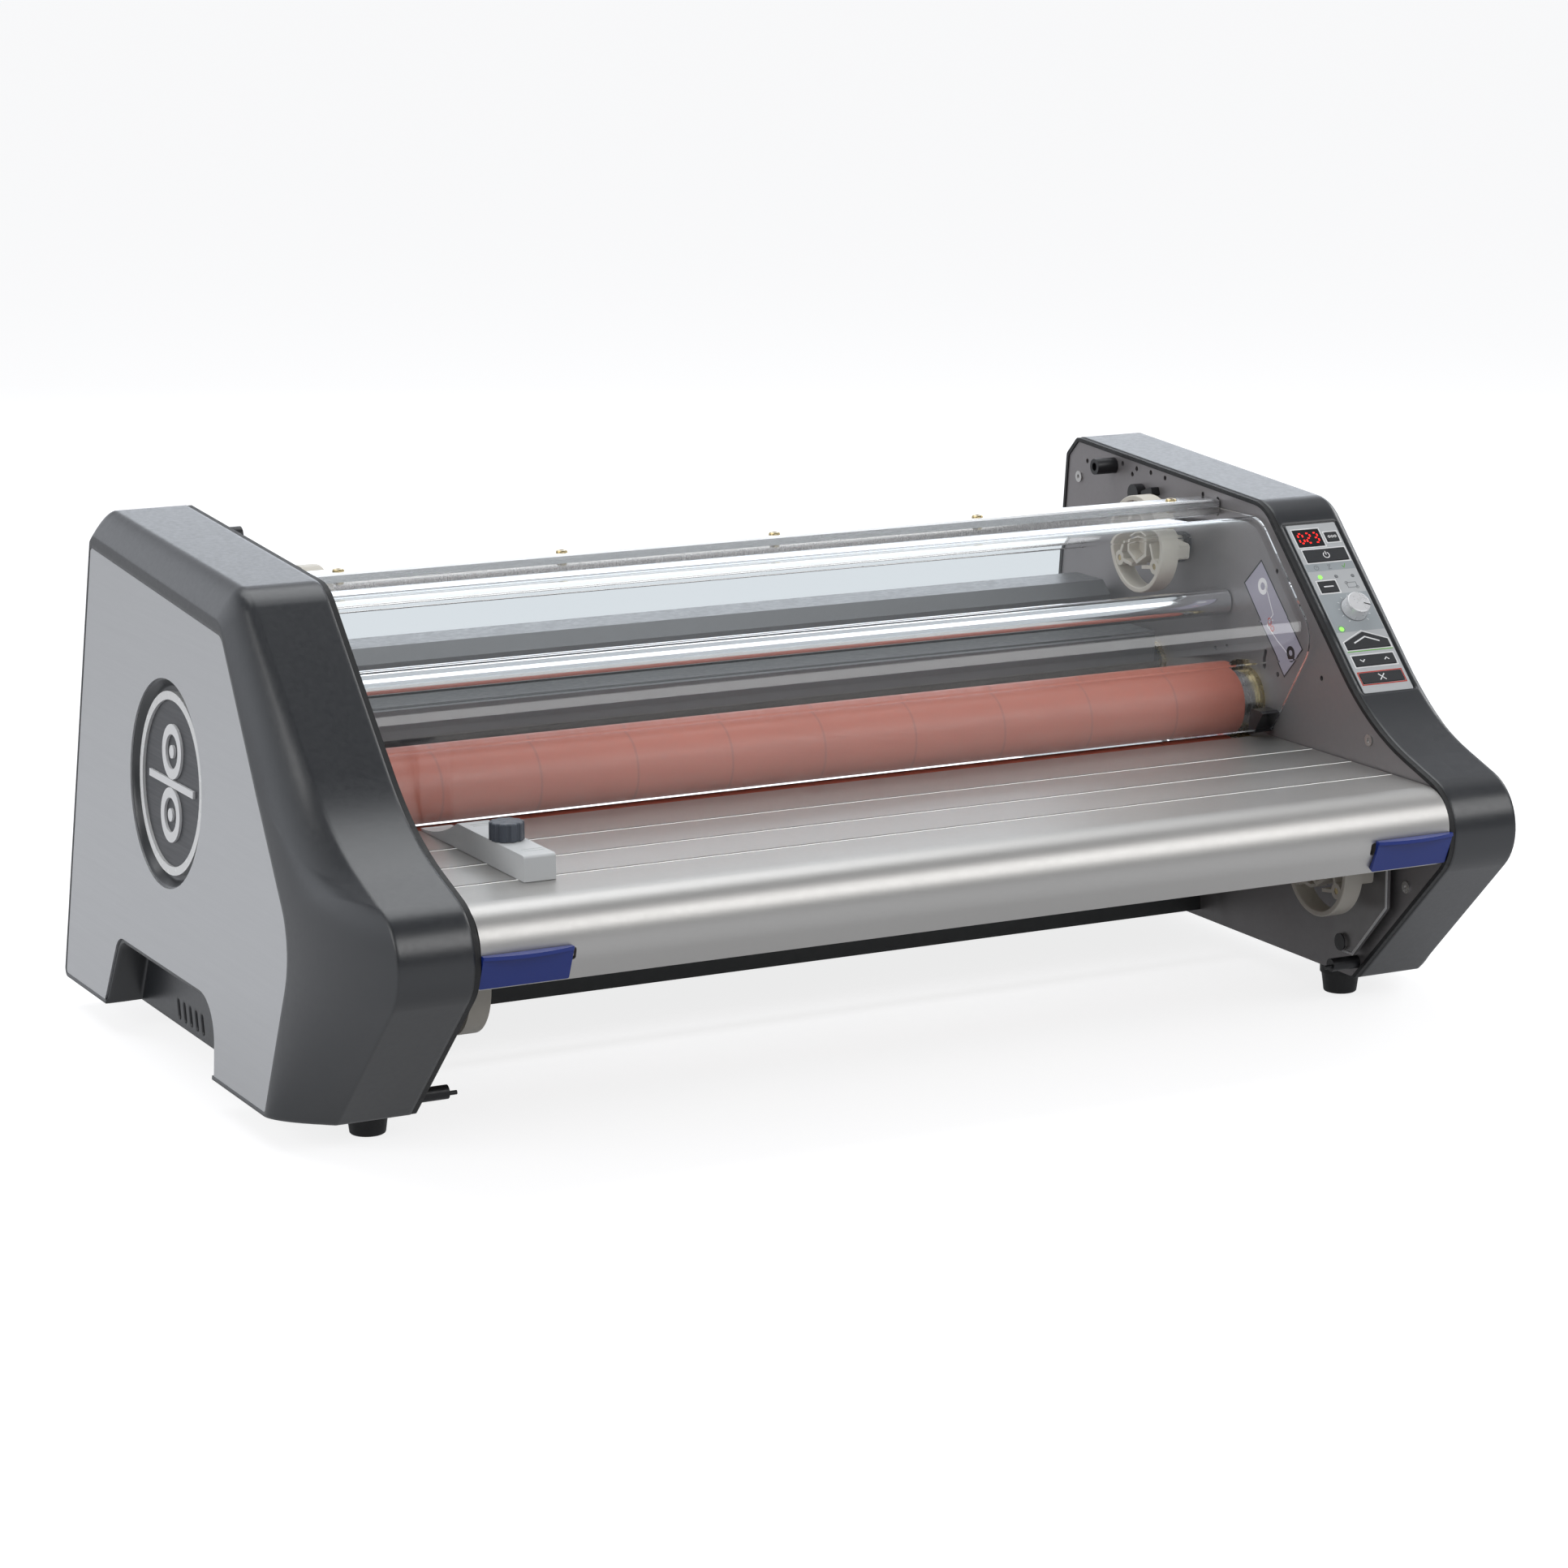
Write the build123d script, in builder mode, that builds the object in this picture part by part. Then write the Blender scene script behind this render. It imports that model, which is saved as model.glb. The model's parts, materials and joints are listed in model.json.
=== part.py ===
"""Tabletop thermal roll laminator for film up to 27 inches (686 mm) wide.

Frame: millimetres, +Z up, the operator stands on the -Y side, +X is the operator's right.
The origin is on the table, under the middle of the machine's outline.
"""
from build123d import *
from math import cos, degrees, hypot, radians, sin
import os

# ---------------------------------------------------------------- driving sizes
half_gap = 372.0            # centre plane to the inner edge of each side cover
crease_x = 423.5            # centre plane to the edge where a cover's band meets its bevel
face_x = 457.0              # centre plane to the bottom of a cover's outer face
face_lean = 3.23            # degrees that the outer face leans inwards
crown_height = 5.0          # how far the bevel stands out beyond a flat one
crown_depth = 5.0           # distance of its fullest outline behind the outer face
cover_bottom = 21.0         # height of the covers' bottom above the table
cover_wall = 3.0
plate_thickness = 3.0
plate_inset = 3.5           # the side plate's edge stands this far inside the cover's edge
plate_x = half_gap - plate_thickness
plate_bottom = 21.3
rear_y = 283.0              # furthest back point of the covers
nose_radius = 38.0

heat_y = -18.0              # axis of the front (heated) rollers
nip_z = 177.0               # height of the nip between upper and lower rollers
roller_pitch = 26.0         # half of the distance between an upper and a lower axis
sleeve_radius = 25.8        # leaves 0.4 mm between the two sleeves
pull_y = 118.0              # axis of the rear (pull) rollers
upper_z = nip_z + roller_pitch
lower_z = nip_z - roller_pitch
roller_end = 351.0          # half length of a roller's face
journal_radius = 22.0
stub_radius = 14.0
heater_bore = 9.0
running_gap = 0.06          # radial clearance of a running fit

gear_module = 2.0
heat_teeth = 26
transfer_teeth = 42
pinion_teeth = 14
gear_x = 378.0              # inner face of the gear train
gear_width = 8.0
transfer_y = heat_y + gear_module * (heat_teeth + transfer_teeth) / 2
pinion_angle = -65.0        # direction from the transfer gear's axis to the motor's axis
pinion_reach = gear_module * (transfer_teeth + pinion_teeth) / 2
motor_y = transfer_y + pinion_reach * cos(radians(pinion_angle))
motor_z = lower_z + pinion_reach * sin(radians(pinion_angle))

upper_supply = (78.0, 307.5)    # axis (y, z) of the upper film roll
lower_supply = (-172.5, 110.5)  # axis (y, z) of the lower film roll
chuck_radius = 37.4             # fits a 3 inch (76.2 mm) film core
chuck_face = 330.0              # centre plane to a chuck's open face
chuck_rim = 15.0

upper_idler = (12.0, 270.3)
idler_radius = 9.7
lower_idler = (-84.0, 92.0)

tray_top = 180.5
tray_fold = -254.0          # where the tray's flat top rolls over into its nose
tray_rear = -50.0
tray_nose_radius = 27.0
tray_skirt_lean = 27.6        # degrees that the skirt below the nose leans from vertical
tray_bottom = 128.0
tray_thickness = 3.5
tray_end = 367.5
groove_pitch = 50.2
first_groove = -108.4
tray_pivot = (-62.0, 172.0)
knob_centre = (-301.0, -171.5)

shield_end = 366.5
shield_thickness = 3.0
rail_y = (20.0, 46.0)
shield_top = 341.2

foot_x = 385.0
foot_ys = (-127.0, 215.0)

overlay_centre = (398.5, 96.75)     # x, and distance down the front slope
overlay_size = (43.0, 150.5)

badge_centre = (75.7, 203.0)
badge_radius = 72.0

# Side outline of a cover at its inner edge, from the bottom rear corner up and over to the front.
side_points = [
    (rear_y, cover_bottom),
    (243.3, 355.0),
    (227.5, 369.4),
    (-39.5, 351.7),
    (-180.1, 209.8),
    (-314.8, 164.6),
    (-169.9, cover_bottom),
]
side_radii = [6.0, 6.0, 6.0, 35.0, 200.0, nose_radius, 6.0]

# Outline of the leaning outer face: y, and height above the covers' bottom.
face_points = [
    (rear_y, 0.0),
    (244.3, 325.0),
    (238.0, 330.2),
    (-22.7, 309.4),
    (-101.0, 208.0),
    (-170.6, 120.6),
    (-129.8, 0.0),
]
face_radii = [6.0, 3.5, 3.5, 16.0, 400.0, 60.0, 6.0]

# Carry pocket in the bottom edge of each cover, seen from the side.
pocket_points = [(199.0, 5.0), (164.0, 72.5), (-26.5, 72.5), (-29.5, 5.0)]
pocket_radii = [14.0, 28.0]
pocket_x = 430.0

# Outer side of the bent shield, from its rail forwards and down to its lower edge.
shield_points = [(40.0, 341.2), (-38.5, 341.0), (-112.6, 262.2), (-58.8, 186.0)]
shield_radii = [25.0, 25.0]

lean = radians(face_lean)
slope_length = hypot(side_points[4][0] - side_points[3][0], side_points[4][1] - side_points[3][1])
slope_dir = Vector(
    0,
    (side_points[4][0] - side_points[3][0]) / slope_length,
    (side_points[4][1] - side_points[3][1]) / slope_length,
)
# Plane of the covers' front slope: local x is +X, local y runs up the slope, origin at its top.
slope_plane = Plane(
    origin=(0, side_points[3][0], side_points[3][1]),
    x_dir=(1, 0, 0),
    z_dir=(0, slope_dir.Z, -slope_dir.Y),
)

os.makedirs("parts", exist_ok=True)


# ---------------------------------------------------------------- helpers
def save(part, label):
    """Label a finished piece and write it as one STEP file."""
    part.label = label
    export_step(part, f"parts/{label}.step")


def inset(points, radii, distance):
    """Move each side of a closed outline inwards; distance is one number or one per side."""
    count = len(points)
    gaps = list(distance) if isinstance(distance, (list, tuple)) else [distance] * count
    area = sum(
        points[i][0] * points[(i + 1) % count][1] - points[(i + 1) % count][0] * points[i][1]
        for i in range(count)
    )
    turn = 1.0 if area > 0 else -1.0
    lines = []
    for i in range(count):
        (y1, z1), (y2, z2) = points[i], points[(i + 1) % count]
        length = hypot(y2 - y1, z2 - z1)
        dy, dz = (y2 - y1) / length, (z2 - z1) / length
        lines.append((y1 - turn * dz * gaps[i], z1 + turn * dy * gaps[i], dy, dz))
    new_points, new_radii = [], []
    for i in range(count):
        y1, z1, dy1, dz1 = lines[i - 1]
        y2, z2, dy2, dz2 = lines[i]
        cross = dy1 * dz2 - dz1 * dy2
        along = ((y2 - y1) * dz2 - (z2 - z1) * dy2) / cross
        new_points.append((y1 + along * dy1, z1 + along * dz1))
        shrink = gaps[i] if cross * turn > 0 else -gaps[i]
        new_radii.append(max(radii[i] - shrink, 0.8))
    return new_points, new_radii


def side_plane(x):
    """Plane facing +X at this x, with local x along +Y and local y along +Z."""
    return Plane(origin=(x, 0, 0), x_dir=(0, 1, 0), z_dir=(1, 0, 0))


def face_plane(depth):
    """Plane of the leaning outer face, moved inwards by depth; local y starts at the bottom."""
    return Plane(
        origin=(face_x - depth * cos(lean), 0, cover_bottom - depth * sin(lean)),
        x_dir=(0, 1, 0),
        z_dir=(cos(lean), 0, sin(lean)),
    )


def outline(points, radii, mode=Mode.ADD):
    """A filled outline with rounded corners, inside the sketch that calls it."""
    with BuildLine() as line:
        FilletPolyline(*points, radius=radii, close=True)
    make_face(line.edges(), mode=mode)


def strip(points, radii, thickness):
    """A bent sheet seen edge-on: an open outer line and its copy moved to the right of travel."""
    outer_line, inner_line = [], []
    for (y1, z1), (y2, z2) in zip(points, points[1:]):
        length = hypot(y2 - y1, z2 - z1)
        dy, dz = (y2 - y1) / length, (z2 - z1) / length
        outer_line.append((y1, z1, y2, z2))
        gy, gz = -dz * thickness, dy * thickness
        inner_line.append((y1 + gy, z1 + gz, y2 + gy, z2 + gz))
    inner_points = [inner_line[0][:2]]
    for (y1, z1, y2, z2), (y3, z3, y4, z4) in zip(inner_line, inner_line[1:]):
        cross = (y2 - y1) * (z4 - z3) - (z2 - z1) * (y4 - y3)
        along = ((y3 - y1) * (z4 - z3) - (z3 - z1) * (y4 - y3)) / cross
        inner_points.append((y1 + along * (y2 - y1), z1 + along * (z2 - z1)))
    inner_points.append(inner_line[-1][2:])
    with BuildLine() as line:
        outside = FilletPolyline(*points, radius=radii)
        inside = FilletPolyline(*inner_points, radius=[r - thickness for r in radii])
        Line(outside @ 0, inside @ 0)
        Line(outside @ 1, inside @ 1)
    make_face(line.edges())


def rod(axis, radius, start, end, mode=Mode.ADD):
    """A round bar along X between two x positions, inside the part that calls it."""
    with Locations(Location((start, *axis), (0, 90, 0))):
        Cylinder(radius, end - start, align=(Align.CENTER, Align.CENTER, Align.MIN), mode=mode)


def bore(axis, radius, start, end):
    """A round hole along X between two x positions, inside the part that calls it."""
    rod(axis, radius, start, end, mode=Mode.SUBTRACT)


def save_pair(part, name):
    """Write a right-hand piece and its mirror image as two nodes."""
    save(mirror(part, about=Plane.YZ), f"{name}_left")
    save(part, f"{name}_right")


def save_both(part, name):
    """Write a right-hand piece and its mirror image as two solids of one node."""
    both = Compound(children=list(part.solids()) + list(mirror(part, about=Plane.YZ).solids()))
    save(both, name)


# ---------------------------------------------------------------- casing
def crown_outline():
    """Outline of the crowned bevel at crown_depth behind the outer face."""
    points, radii = [], []
    for (y1, z1), (y2, h2), r1, r2 in zip(side_points, face_points, side_radii, face_radii):
        reach = face_x - crease_x - h2 * sin(lean)
        share = (crown_depth + crown_height) / reach
        points.append((y2 + share * (y1 - y2), h2 + share * (z1 - cover_bottom - h2)))
        radii.append(r2 + share * (r1 - r2))
    return points, radii


def cover_body(gap, face_gap):
    """Solid of a side cover, moved inwards by gap (and by face_gap at its outer face)."""
    points, radii = inset(side_points, side_radii, gap)
    crown_points, crown_radii = inset(*crown_outline(), gap)
    outer_points, outer_radii = inset(face_points, face_radii, gap)
    with BuildPart() as body:
        with BuildSketch(side_plane(half_gap)):
            outline(points, radii)
        extrude(amount=crease_x - gap - half_gap)
        with BuildSketch(side_plane(crease_x - gap)):
            outline(points, radii)
        with BuildSketch(face_plane(crown_depth + face_gap)):
            outline(crown_points, crown_radii)
        with BuildSketch(face_plane(face_gap)):
            outline(outer_points, outer_radii)
        loft()
    return body.part


def face_recess_outline(extra):
    """Outline of the recess for the grey face panel: a wider rim along the top edge."""
    gaps = [2.6 + extra, 6.0 + extra, 9.0 + extra] + [2.6 + extra] * 4
    return inset(face_points, face_radii, gaps)


def pocket_outline(extra):
    """Carry pocket outline, moved outwards by extra."""
    (y1, z1), (y2, z2), (y3, z3), (y4, z4) = pocket_points
    grown = [(y1 + extra, z1), (y2 + extra, z2 + extra), (y3 - extra, z3 + extra), (y4 - extra, z4)]
    with BuildLine() as line:
        corners = FilletPolyline(*grown, radius=[r + extra for r in pocket_radii])
        Line(corners @ 1, corners @ 0)
    make_face(line.edges())


def side_cover(with_controls):
    """Hollow crowned side cover with its carry pocket, vent slots and panel recess."""
    outer = cover_body(0.0, 0.0)
    hollow = cover_body(cover_wall, cover_wall + 1.0)
    screw_posts = [(224.5, 338.3), (-179.6, 199.5), (-230.0, 102.0), (250.0, 60.0)]
    with BuildPart() as void:
        add(hollow)
        with BuildSketch(side_plane(pocket_x - cover_wall)):
            pocket_outline(cover_wall)
        extrude(amount=40, mode=Mode.SUBTRACT)
        with BuildSketch(face_plane(12.0)):
            with Locations((badge_centre[0], badge_centre[1] - cover_bottom)):
                Circle(badge_radius + cover_wall)
        extrude(amount=20, mode=Mode.SUBTRACT)
        for post in screw_posts:
            bore(post, 6.0, half_gap, face_x)
    with BuildPart() as cover:
        add(outer)
        add(void.part, mode=Mode.SUBTRACT)
        with BuildSketch(side_plane(pocket_x)):
            pocket_outline(0.0)
        extrude(amount=40, mode=Mode.SUBTRACT)
        with BuildSketch(face_plane(1.6)):
            outline(*face_recess_outline(0.0))
        extrude(amount=10, mode=Mode.SUBTRACT)
        # Conical dish behind the badge.
        with BuildSketch(face_plane(9.0)):
            with Locations((badge_centre[0], badge_centre[1] - cover_bottom)):
                Circle(badge_radius - 5.5)
        with BuildSketch(face_plane(1.0)):
            with Locations((badge_centre[0], badge_centre[1] - cover_bottom)):
                Circle(badge_radius)
        loft(mode=Mode.SUBTRACT)
        # Vent slots through the pocket's inner wall.
        with BuildSketch(side_plane(pocket_x - 10)):
            with Locations(*[(62.0 + 12.0 * i, 33.0) for i in range(5)]):
                SlotOverall(15.0, 4.6, rotation=78)
        extrude(amount=20, mode=Mode.SUBTRACT)
        for post in screw_posts:
            bore(post, 1.9, half_gap - 1, half_gap + 22)
        if with_controls:
            # Recess in the front slope for the control panel, and the window under it.
            with BuildSketch(slope_plane.offset(-1.2)):
                with Locations((398.2, -96.5)):
                    RectangleRounded(48.0, 153.0, 2.0)
            extrude(amount=5.0, mode=Mode.SUBTRACT)
            with BuildSketch(slope_plane):
                with Locations((overlay_centre[0], -overlay_centre[1])):
                    Rectangle(overlay_size[0] - 3.0, overlay_size[1] - 4.0)
            extrude(amount=-12, mode=Mode.SUBTRACT)
    return cover.part


def face_panel():
    """Grey sheet that fills the outer face's recess, with openings for badge and pocket."""
    with BuildPart() as panel:
        with BuildSketch(face_plane(1.6)):
            outline(*face_recess_outline(0.25))
            with Locations((badge_centre[0], badge_centre[1] - cover_bottom)):
                Circle(badge_radius + 0.3, mode=Mode.SUBTRACT)
        extrude(amount=1.4)
        with BuildSketch(side_plane(pocket_x)):
            pocket_outline(3.2)
        extrude(amount=40, mode=Mode.SUBTRACT)
    return panel.part


def badge_ring():
    """White ring that stands in the dish of the outer face."""
    with BuildPart() as ring:
        with BuildSketch(face_plane(9.0)):
            with Locations((badge_centre[0], badge_centre[1] - cover_bottom)):
                Circle(63.3)
                Circle(57.4, mode=Mode.SUBTRACT)
        extrude(amount=5.0)
    return ring.part


def badge_disc():
    """Dark disc inside the white ring."""
    with BuildPart() as disc:
        with BuildSketch(face_plane(9.0)):
            with Locations((badge_centre[0], badge_centre[1] - cover_bottom)):
                Circle(57.2)
        extrude(amount=3.0)
    return disc.part


def edge_seal():
    """Black edging between a cover and its side plate: rear, top and front, not the bottom."""
    inner_gaps = [plate_inset - 0.1] * 6 + [-10.0]
    with BuildPart() as seal:
        with BuildSketch(side_plane(plate_x - 1.0)):
            outline(*inset(side_points, side_radii, 0.3))
            outline(*inset(side_points, side_radii, inner_gaps), mode=Mode.SUBTRACT)
        extrude(amount=half_gap - plate_x + 1.0)
    return seal.part


# ---------------------------------------------------------------- frame
def side_plate(right):
    """Steel side plate with its bearing seats and service holes."""
    gaps = [plate_inset] * 6 + [plate_bottom - cover_bottom]
    points, radii = inset(side_points, side_radii, gaps)
    small_holes = [
        (160.4, 356.6), (139.7, 355.0), (145.9, 350.0), (119.2, 354.6), (98.7, 353.0),
        (45.2, 347.6), (24.7, 346.4), (-55.8, 302.9), (-59.1, 228.3),
        (-117.5, 234.0), (25.3, 232.3), (9.7, 236.4), (213.0, 352.0),
    ]
    with BuildPart() as plate:
        with BuildSketch(side_plane(plate_x)):
            outline(points, radii)
            with Locations(*small_holes):
                Circle(1.9, mode=Mode.SUBTRACT)
            with Locations((-42.1, 236.0)):
                SlotOverall(13.0, 3.6, rotation=100, mode=Mode.SUBTRACT)
        extrude(amount=plate_thickness)
        for axis_y in (heat_y, pull_y):
            for axis_z in (upper_z, lower_z):
                bore((axis_y, axis_z), 23.6, plate_x - 1, half_gap + 1)
        for axis in (upper_supply, lower_supply):
            bore(axis, 8.0 + running_gap, plate_x - 1, half_gap + 1)
        for axis in (upper_idler, lower_idler):
            bore(axis, 5.0 + running_gap, plate_x - 1, half_gap + 1)
        bore((rail_y[0] + 13.0, 343.8), 2.5 + running_gap, plate_x - 1, half_gap + 1)
        bore(tray_pivot, 3.0 + running_gap, plate_x - 1, half_gap + 1)
        bore((-259.0, 157.5), 3.6, plate_x - 1, half_gap + 1)
        if right:
            bore((motor_y, motor_z), 16.0, plate_x - 1, half_gap + 1)
    return plate.part


def base_pan():
    """Folded bottom pan between the side plates, open to the rear cover."""
    with BuildPart() as pan:
        with BuildSketch(side_plane(-plate_x + 0.2)):
            with BuildLine():
                Polyline(
                    (39.0, 27.0), (254.0, 27.0), (254.0, 44.0), (252.0, 44.0), (252.0, 29.0),
                    (41.0, 29.0), (41.0, 116.0), (39.0, 116.0), close=True,
                )
            make_face()
        extrude(amount=2 * (plate_x - 0.2))
    return pan.part


def rear_cover():
    """Rear sheet and exit table, with openings for the power inlet and switch."""
    with BuildPart() as cover:
        with BuildSketch(side_plane(-plate_x + 0.2)):
            with BuildLine():
                Polyline(
                    (258.0, 27.0), (260.0, 27.0), (260.0, 160.0), (256.0, 166.0),
                    (152.0, 168.0), (152.0, 166.0), (254.8, 164.0), (258.0, 159.4), close=True,
                )
            make_face()
        extrude(amount=2 * (plate_x - 0.2))
        with BuildSketch(Plane.XZ.offset(-270)):
            with Locations((-300.0, 70.0)):
                Rectangle(27.4, 20.4)
            with Locations((-262.0, 70.0)):
                Rectangle(12.6, 19.4)
            with GridLocations(9.0, 1.0, 24, 1):
                with Locations((120.0, 95.0)):
                    SlotOverall(40.0, 4.0, rotation=90)
        extrude(amount=40, mode=Mode.SUBTRACT)
    return cover.part


def cooling_duct():
    """Closed sheet-metal duct across the rear, above the pull rollers."""
    with BuildPart() as duct:
        with BuildSketch(side_plane(-352.0)):
            with BuildLine():
                Polyline(
                    (149.0, 234.0), (149.0, 256.0), (161.0, 266.0), (200.0, 266.0), (200.0, 200.0),
                    (160.0, 200.0), close=True,
                )
            make_face()
        extrude(amount=704.0)
        with BuildSketch(side_plane(-349.0)):
            with BuildLine():
                Polyline(
                    (151.0, 234.6), (151.0, 255.0), (161.8, 264.0), (198.0, 264.0), (198.0, 202.0),
                    (161.2, 202.0), close=True,
                )
            make_face()
        extrude(amount=698.0, mode=Mode.SUBTRACT)
        # Guard sheet over the front of the pull rollers.
        with BuildSketch(side_plane(-352.0)):
            with BuildLine():
                Polyline(
                    (149.0, 236.0), (86.0, 236.0), (86.0, 210.6), (84.5, 210.6), (84.5, 237.5),
                    (149.0, 237.5), close=True,
                )
            make_face()
        extrude(amount=704.0)
        # Mounting tabs that reach the side plates.
        for x in (-plate_x, 352.0):
            rod((185.0, 250.0), 5.0, x, x + plate_x - 352.0)
            rod((185.0, 215.0), 5.0, x, x + plate_x - 352.0)
    return duct.part


def tie_bars():
    """Round bars that hold the two side plates apart."""
    with BuildPart() as bars:
        for axis in [(235.0, 120.0), (225.0, 300.0), (10.0, 55.0)]:
            rod(axis, 6.0, -plate_x, plate_x)
    return bars.part


def frame_studs():
    """Black studs on the inner face of a side plate."""
    with BuildPart() as studs:
        rod((173.0, 353.6), 6.2, 351.0, plate_x)
        bore((173.0, 353.6), 3.2, 350.0, 354.0)
        rod((-170.5, 33.8), 4.8, 346.0, plate_x)
        rod((-172.0, 33.0), 1.5, 340.0, 346.0)
        rod((132.5, 337.0), 7.5, 361.0, plate_x)
        with BuildSketch(side_plane(362.0)):
            with Locations((114.0, 339.5)):
                RectangleRounded(16.0, 7.0, 2.0, rotation=-20)
        extrude(amount=plate_x - 362.0)
        mirror(about=Plane.YZ)
        # Axle of the transfer gear, on the outer face of the right-hand plate.
        rod((transfer_y, lower_z), 5.0, half_gap, gear_x + gear_width + 1.0)
        rod((transfer_y, lower_z), 8.0, half_gap, gear_x - 0.6)
    return studs.part


def chuck_bracket():
    """Stand-off plate that carries the lower film chuck, with its posts."""
    with BuildPart() as bracket:
        with BuildSketch(side_plane(361.5)):
            with BuildLine():
                FilletPolyline(
                    (-153.0, 148.0), (-150.0, 40.5), (-176.0, 40.5), (-217.0, 84.0),
                    (-217.0, 120.0), (-236.0, 128.0), (-230.0, 148.0),
                    radius=[7.0, 12.0, 4.0, 4.0, 4.0, 2.0, 2.0], close=True,
                )
            make_face()
        extrude(amount=2.5)
        for post in [(-161.0, 140.0), (-222.0, 140.0), (-163.0, 48.0)]:
            rod(post, 5.0, 364.0, plate_x)
        rod((-163.0, 48.0), 6.0, 359.5, 361.5)
        bore(lower_supply, 8.0 + running_gap, 361.0, 365.0)
    return bracket.part


def foot():
    """Tapered rubber foot under a cover."""
    with BuildPart() as feet:
        for foot_y in foot_ys:
            with BuildSketch(Plane(origin=(foot_x, foot_y, cover_bottom))):
                Circle(15.0)
            extrude(amount=-6.0)
            with BuildSketch(Plane(origin=(foot_x, foot_y, cover_bottom - 6.0))):
                Circle(14.0)
            with BuildSketch(Plane(origin=(foot_x, foot_y, 0.0))):
                Circle(12.0)
            loft()
        bottoms = feet.faces().filter_by(Plane.XY).group_by(Axis.Z)[0]
        fillet(bottoms.edges(), 1.6)
    return feet.part


def frame_screws():
    """Pan-head screws that hold the cover to the side plate."""
    with BuildPart() as screws:
        for axis in [(224.5, 338.3), (-179.6, 199.5), (-230.0, 102.0), (250.0, 60.0)]:
            rod(axis, 4.4, plate_x - 1.3, plate_x)
            bore(axis, 1.6, plate_x - 2.5, plate_x - 0.5)
    return screws.part


def roller_bearings():
    """Flanged brass bearings of the four rollers, seated in a side plate."""
    with BuildPart() as bearings:
        for axis_y in (heat_y, pull_y):
            for axis_z in (upper_z, lower_z):
                axis = (axis_y, axis_z)
                rod(axis, 25.4, plate_x - 4.0, plate_x)
                rod(axis, 23.6, plate_x, half_gap)
        for axis_y in (heat_y, pull_y):
            for axis_z in (upper_z, lower_z):
                bore((axis_y, axis_z), journal_radius + running_gap, plate_x - 5, half_gap + 1)
    return bearings.part


def heater_brackets():
    """Bracket outboard of a side plate that holds the ends of both heaters."""
    with BuildPart() as bracket:
        with BuildSketch(side_plane(391.0)):
            with BuildLine():
                Polyline(
                    (-66.0, 220.0), (-10.0, 220.0), (-10.0, 134.0), (-66.0, 134.0), close=True
                )
            make_face()
            with Locations((heat_y, upper_z), (heat_y, lower_z)):
                Circle(5.0, mode=Mode.SUBTRACT)
        extrude(amount=2.0)
        for post in [(-60.0, 214.0), (-60.0, 140.0)]:
            rod(post, 4.0, half_gap, 391.0)
    return bracket.part


def heater_tubes():
    """Infrared heater rods along the axes of the two front rollers."""
    with BuildPart() as tubes:
        for axis_z in (upper_z, lower_z):
            rod((heat_y, axis_z), 5.0, -395.0, 395.0)
    return tubes.part


def tension_rings():
    """Black friction rings behind the film chucks."""
    with BuildPart() as rings:
        rod(upper_supply, 17.0, 366.5, plate_x)
        bore(upper_supply, 10.0, 366.0, plate_x + 1)
    return rings.part


# ---------------------------------------------------------------- gear train
def gear(centre, teeth, phase, bore_radius, start, width):
    """Spur gear on an axis along X; phase turns one tooth to that angle in degrees."""
    pitch_radius = gear_module * teeth / 2
    tip, root = pitch_radius + 0.8 * gear_module, pitch_radius - 1.2 * gear_module
    step = 360.0 / teeth
    half_tip = degrees(0.55 / tip)
    half_root = degrees(1.75 / root)
    corners = []
    for i in range(teeth):
        middle = phase + i * step
        for radius, turn in ((root, -half_root), (tip, -half_tip), (tip, half_tip), (root, half_root)):
            angle = radians(middle + turn)
            corners.append((centre[0] + radius * cos(angle), centre[1] + radius * sin(angle)))
    with BuildPart() as wheel:
        with BuildSketch(side_plane(start)):
            with BuildLine():
                Polyline(*corners, close=True)
            make_face()
            with Locations(centre):
                Circle(bore_radius, mode=Mode.SUBTRACT)
                if pitch_radius > 20:
                    with PolarLocations(0.5 * (pitch_radius + bore_radius), 5):
                        Circle(2.6, mode=Mode.SUBTRACT)
        extrude(amount=width)
    return wheel.part


# ---------------------------------------------------------------- rollers
def heat_core(axis_z):
    """Steel tube of a heated roller with its journals and the stub for its gear."""
    axis = (heat_y, axis_z)
    with BuildPart() as core:
        rod(axis, sleeve_radius - 3.0, -roller_end, roller_end)
        rod(axis, journal_radius, -half_gap - 2.0, half_gap + 2.0)
        rod(axis, stub_radius, half_gap + 2.0, gear_x + gear_width + 2.0)
        bore(axis, heater_bore, -400.0, 400.0)
    return core.part


def heat_sleeve(axis_z):
    """Silicone sleeve on a heated roller."""
    axis = (heat_y, axis_z)
    with BuildPart() as sleeve:
        rod(axis, sleeve_radius, -roller_end, roller_end)
        bore(axis, sleeve_radius - 3.0, -roller_end - 1, roller_end + 1)
    return sleeve.part


def pull_roller(axis_z):
    """Rubber-covered pull roller with its journals and the stub for its gear."""
    axis = (pull_y, axis_z)
    with BuildPart() as roller:
        rod(axis, sleeve_radius, -roller_end + 3.0, roller_end - 3.0)
        rod(axis, journal_radius, -half_gap - 2.0, half_gap + 2.0)
        rod(axis, stub_radius, half_gap + 2.0, gear_x + gear_width + 2.0)
    return roller.part


def idler(axis, radius, end):
    """Idler rod with a reduced pin at each end."""
    with BuildPart() as bar:
        rod(axis, radius, -end, end)
        rod(axis, 5.0, -half_gap - 1.0, half_gap + 1.0)
        ends = bar.edges().filter_by(GeomType.CIRCLE).filter_by(lambda e: abs(e.radius - radius) < 0.01)
        chamfer(ends, 0.8)
    return bar.part


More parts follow.
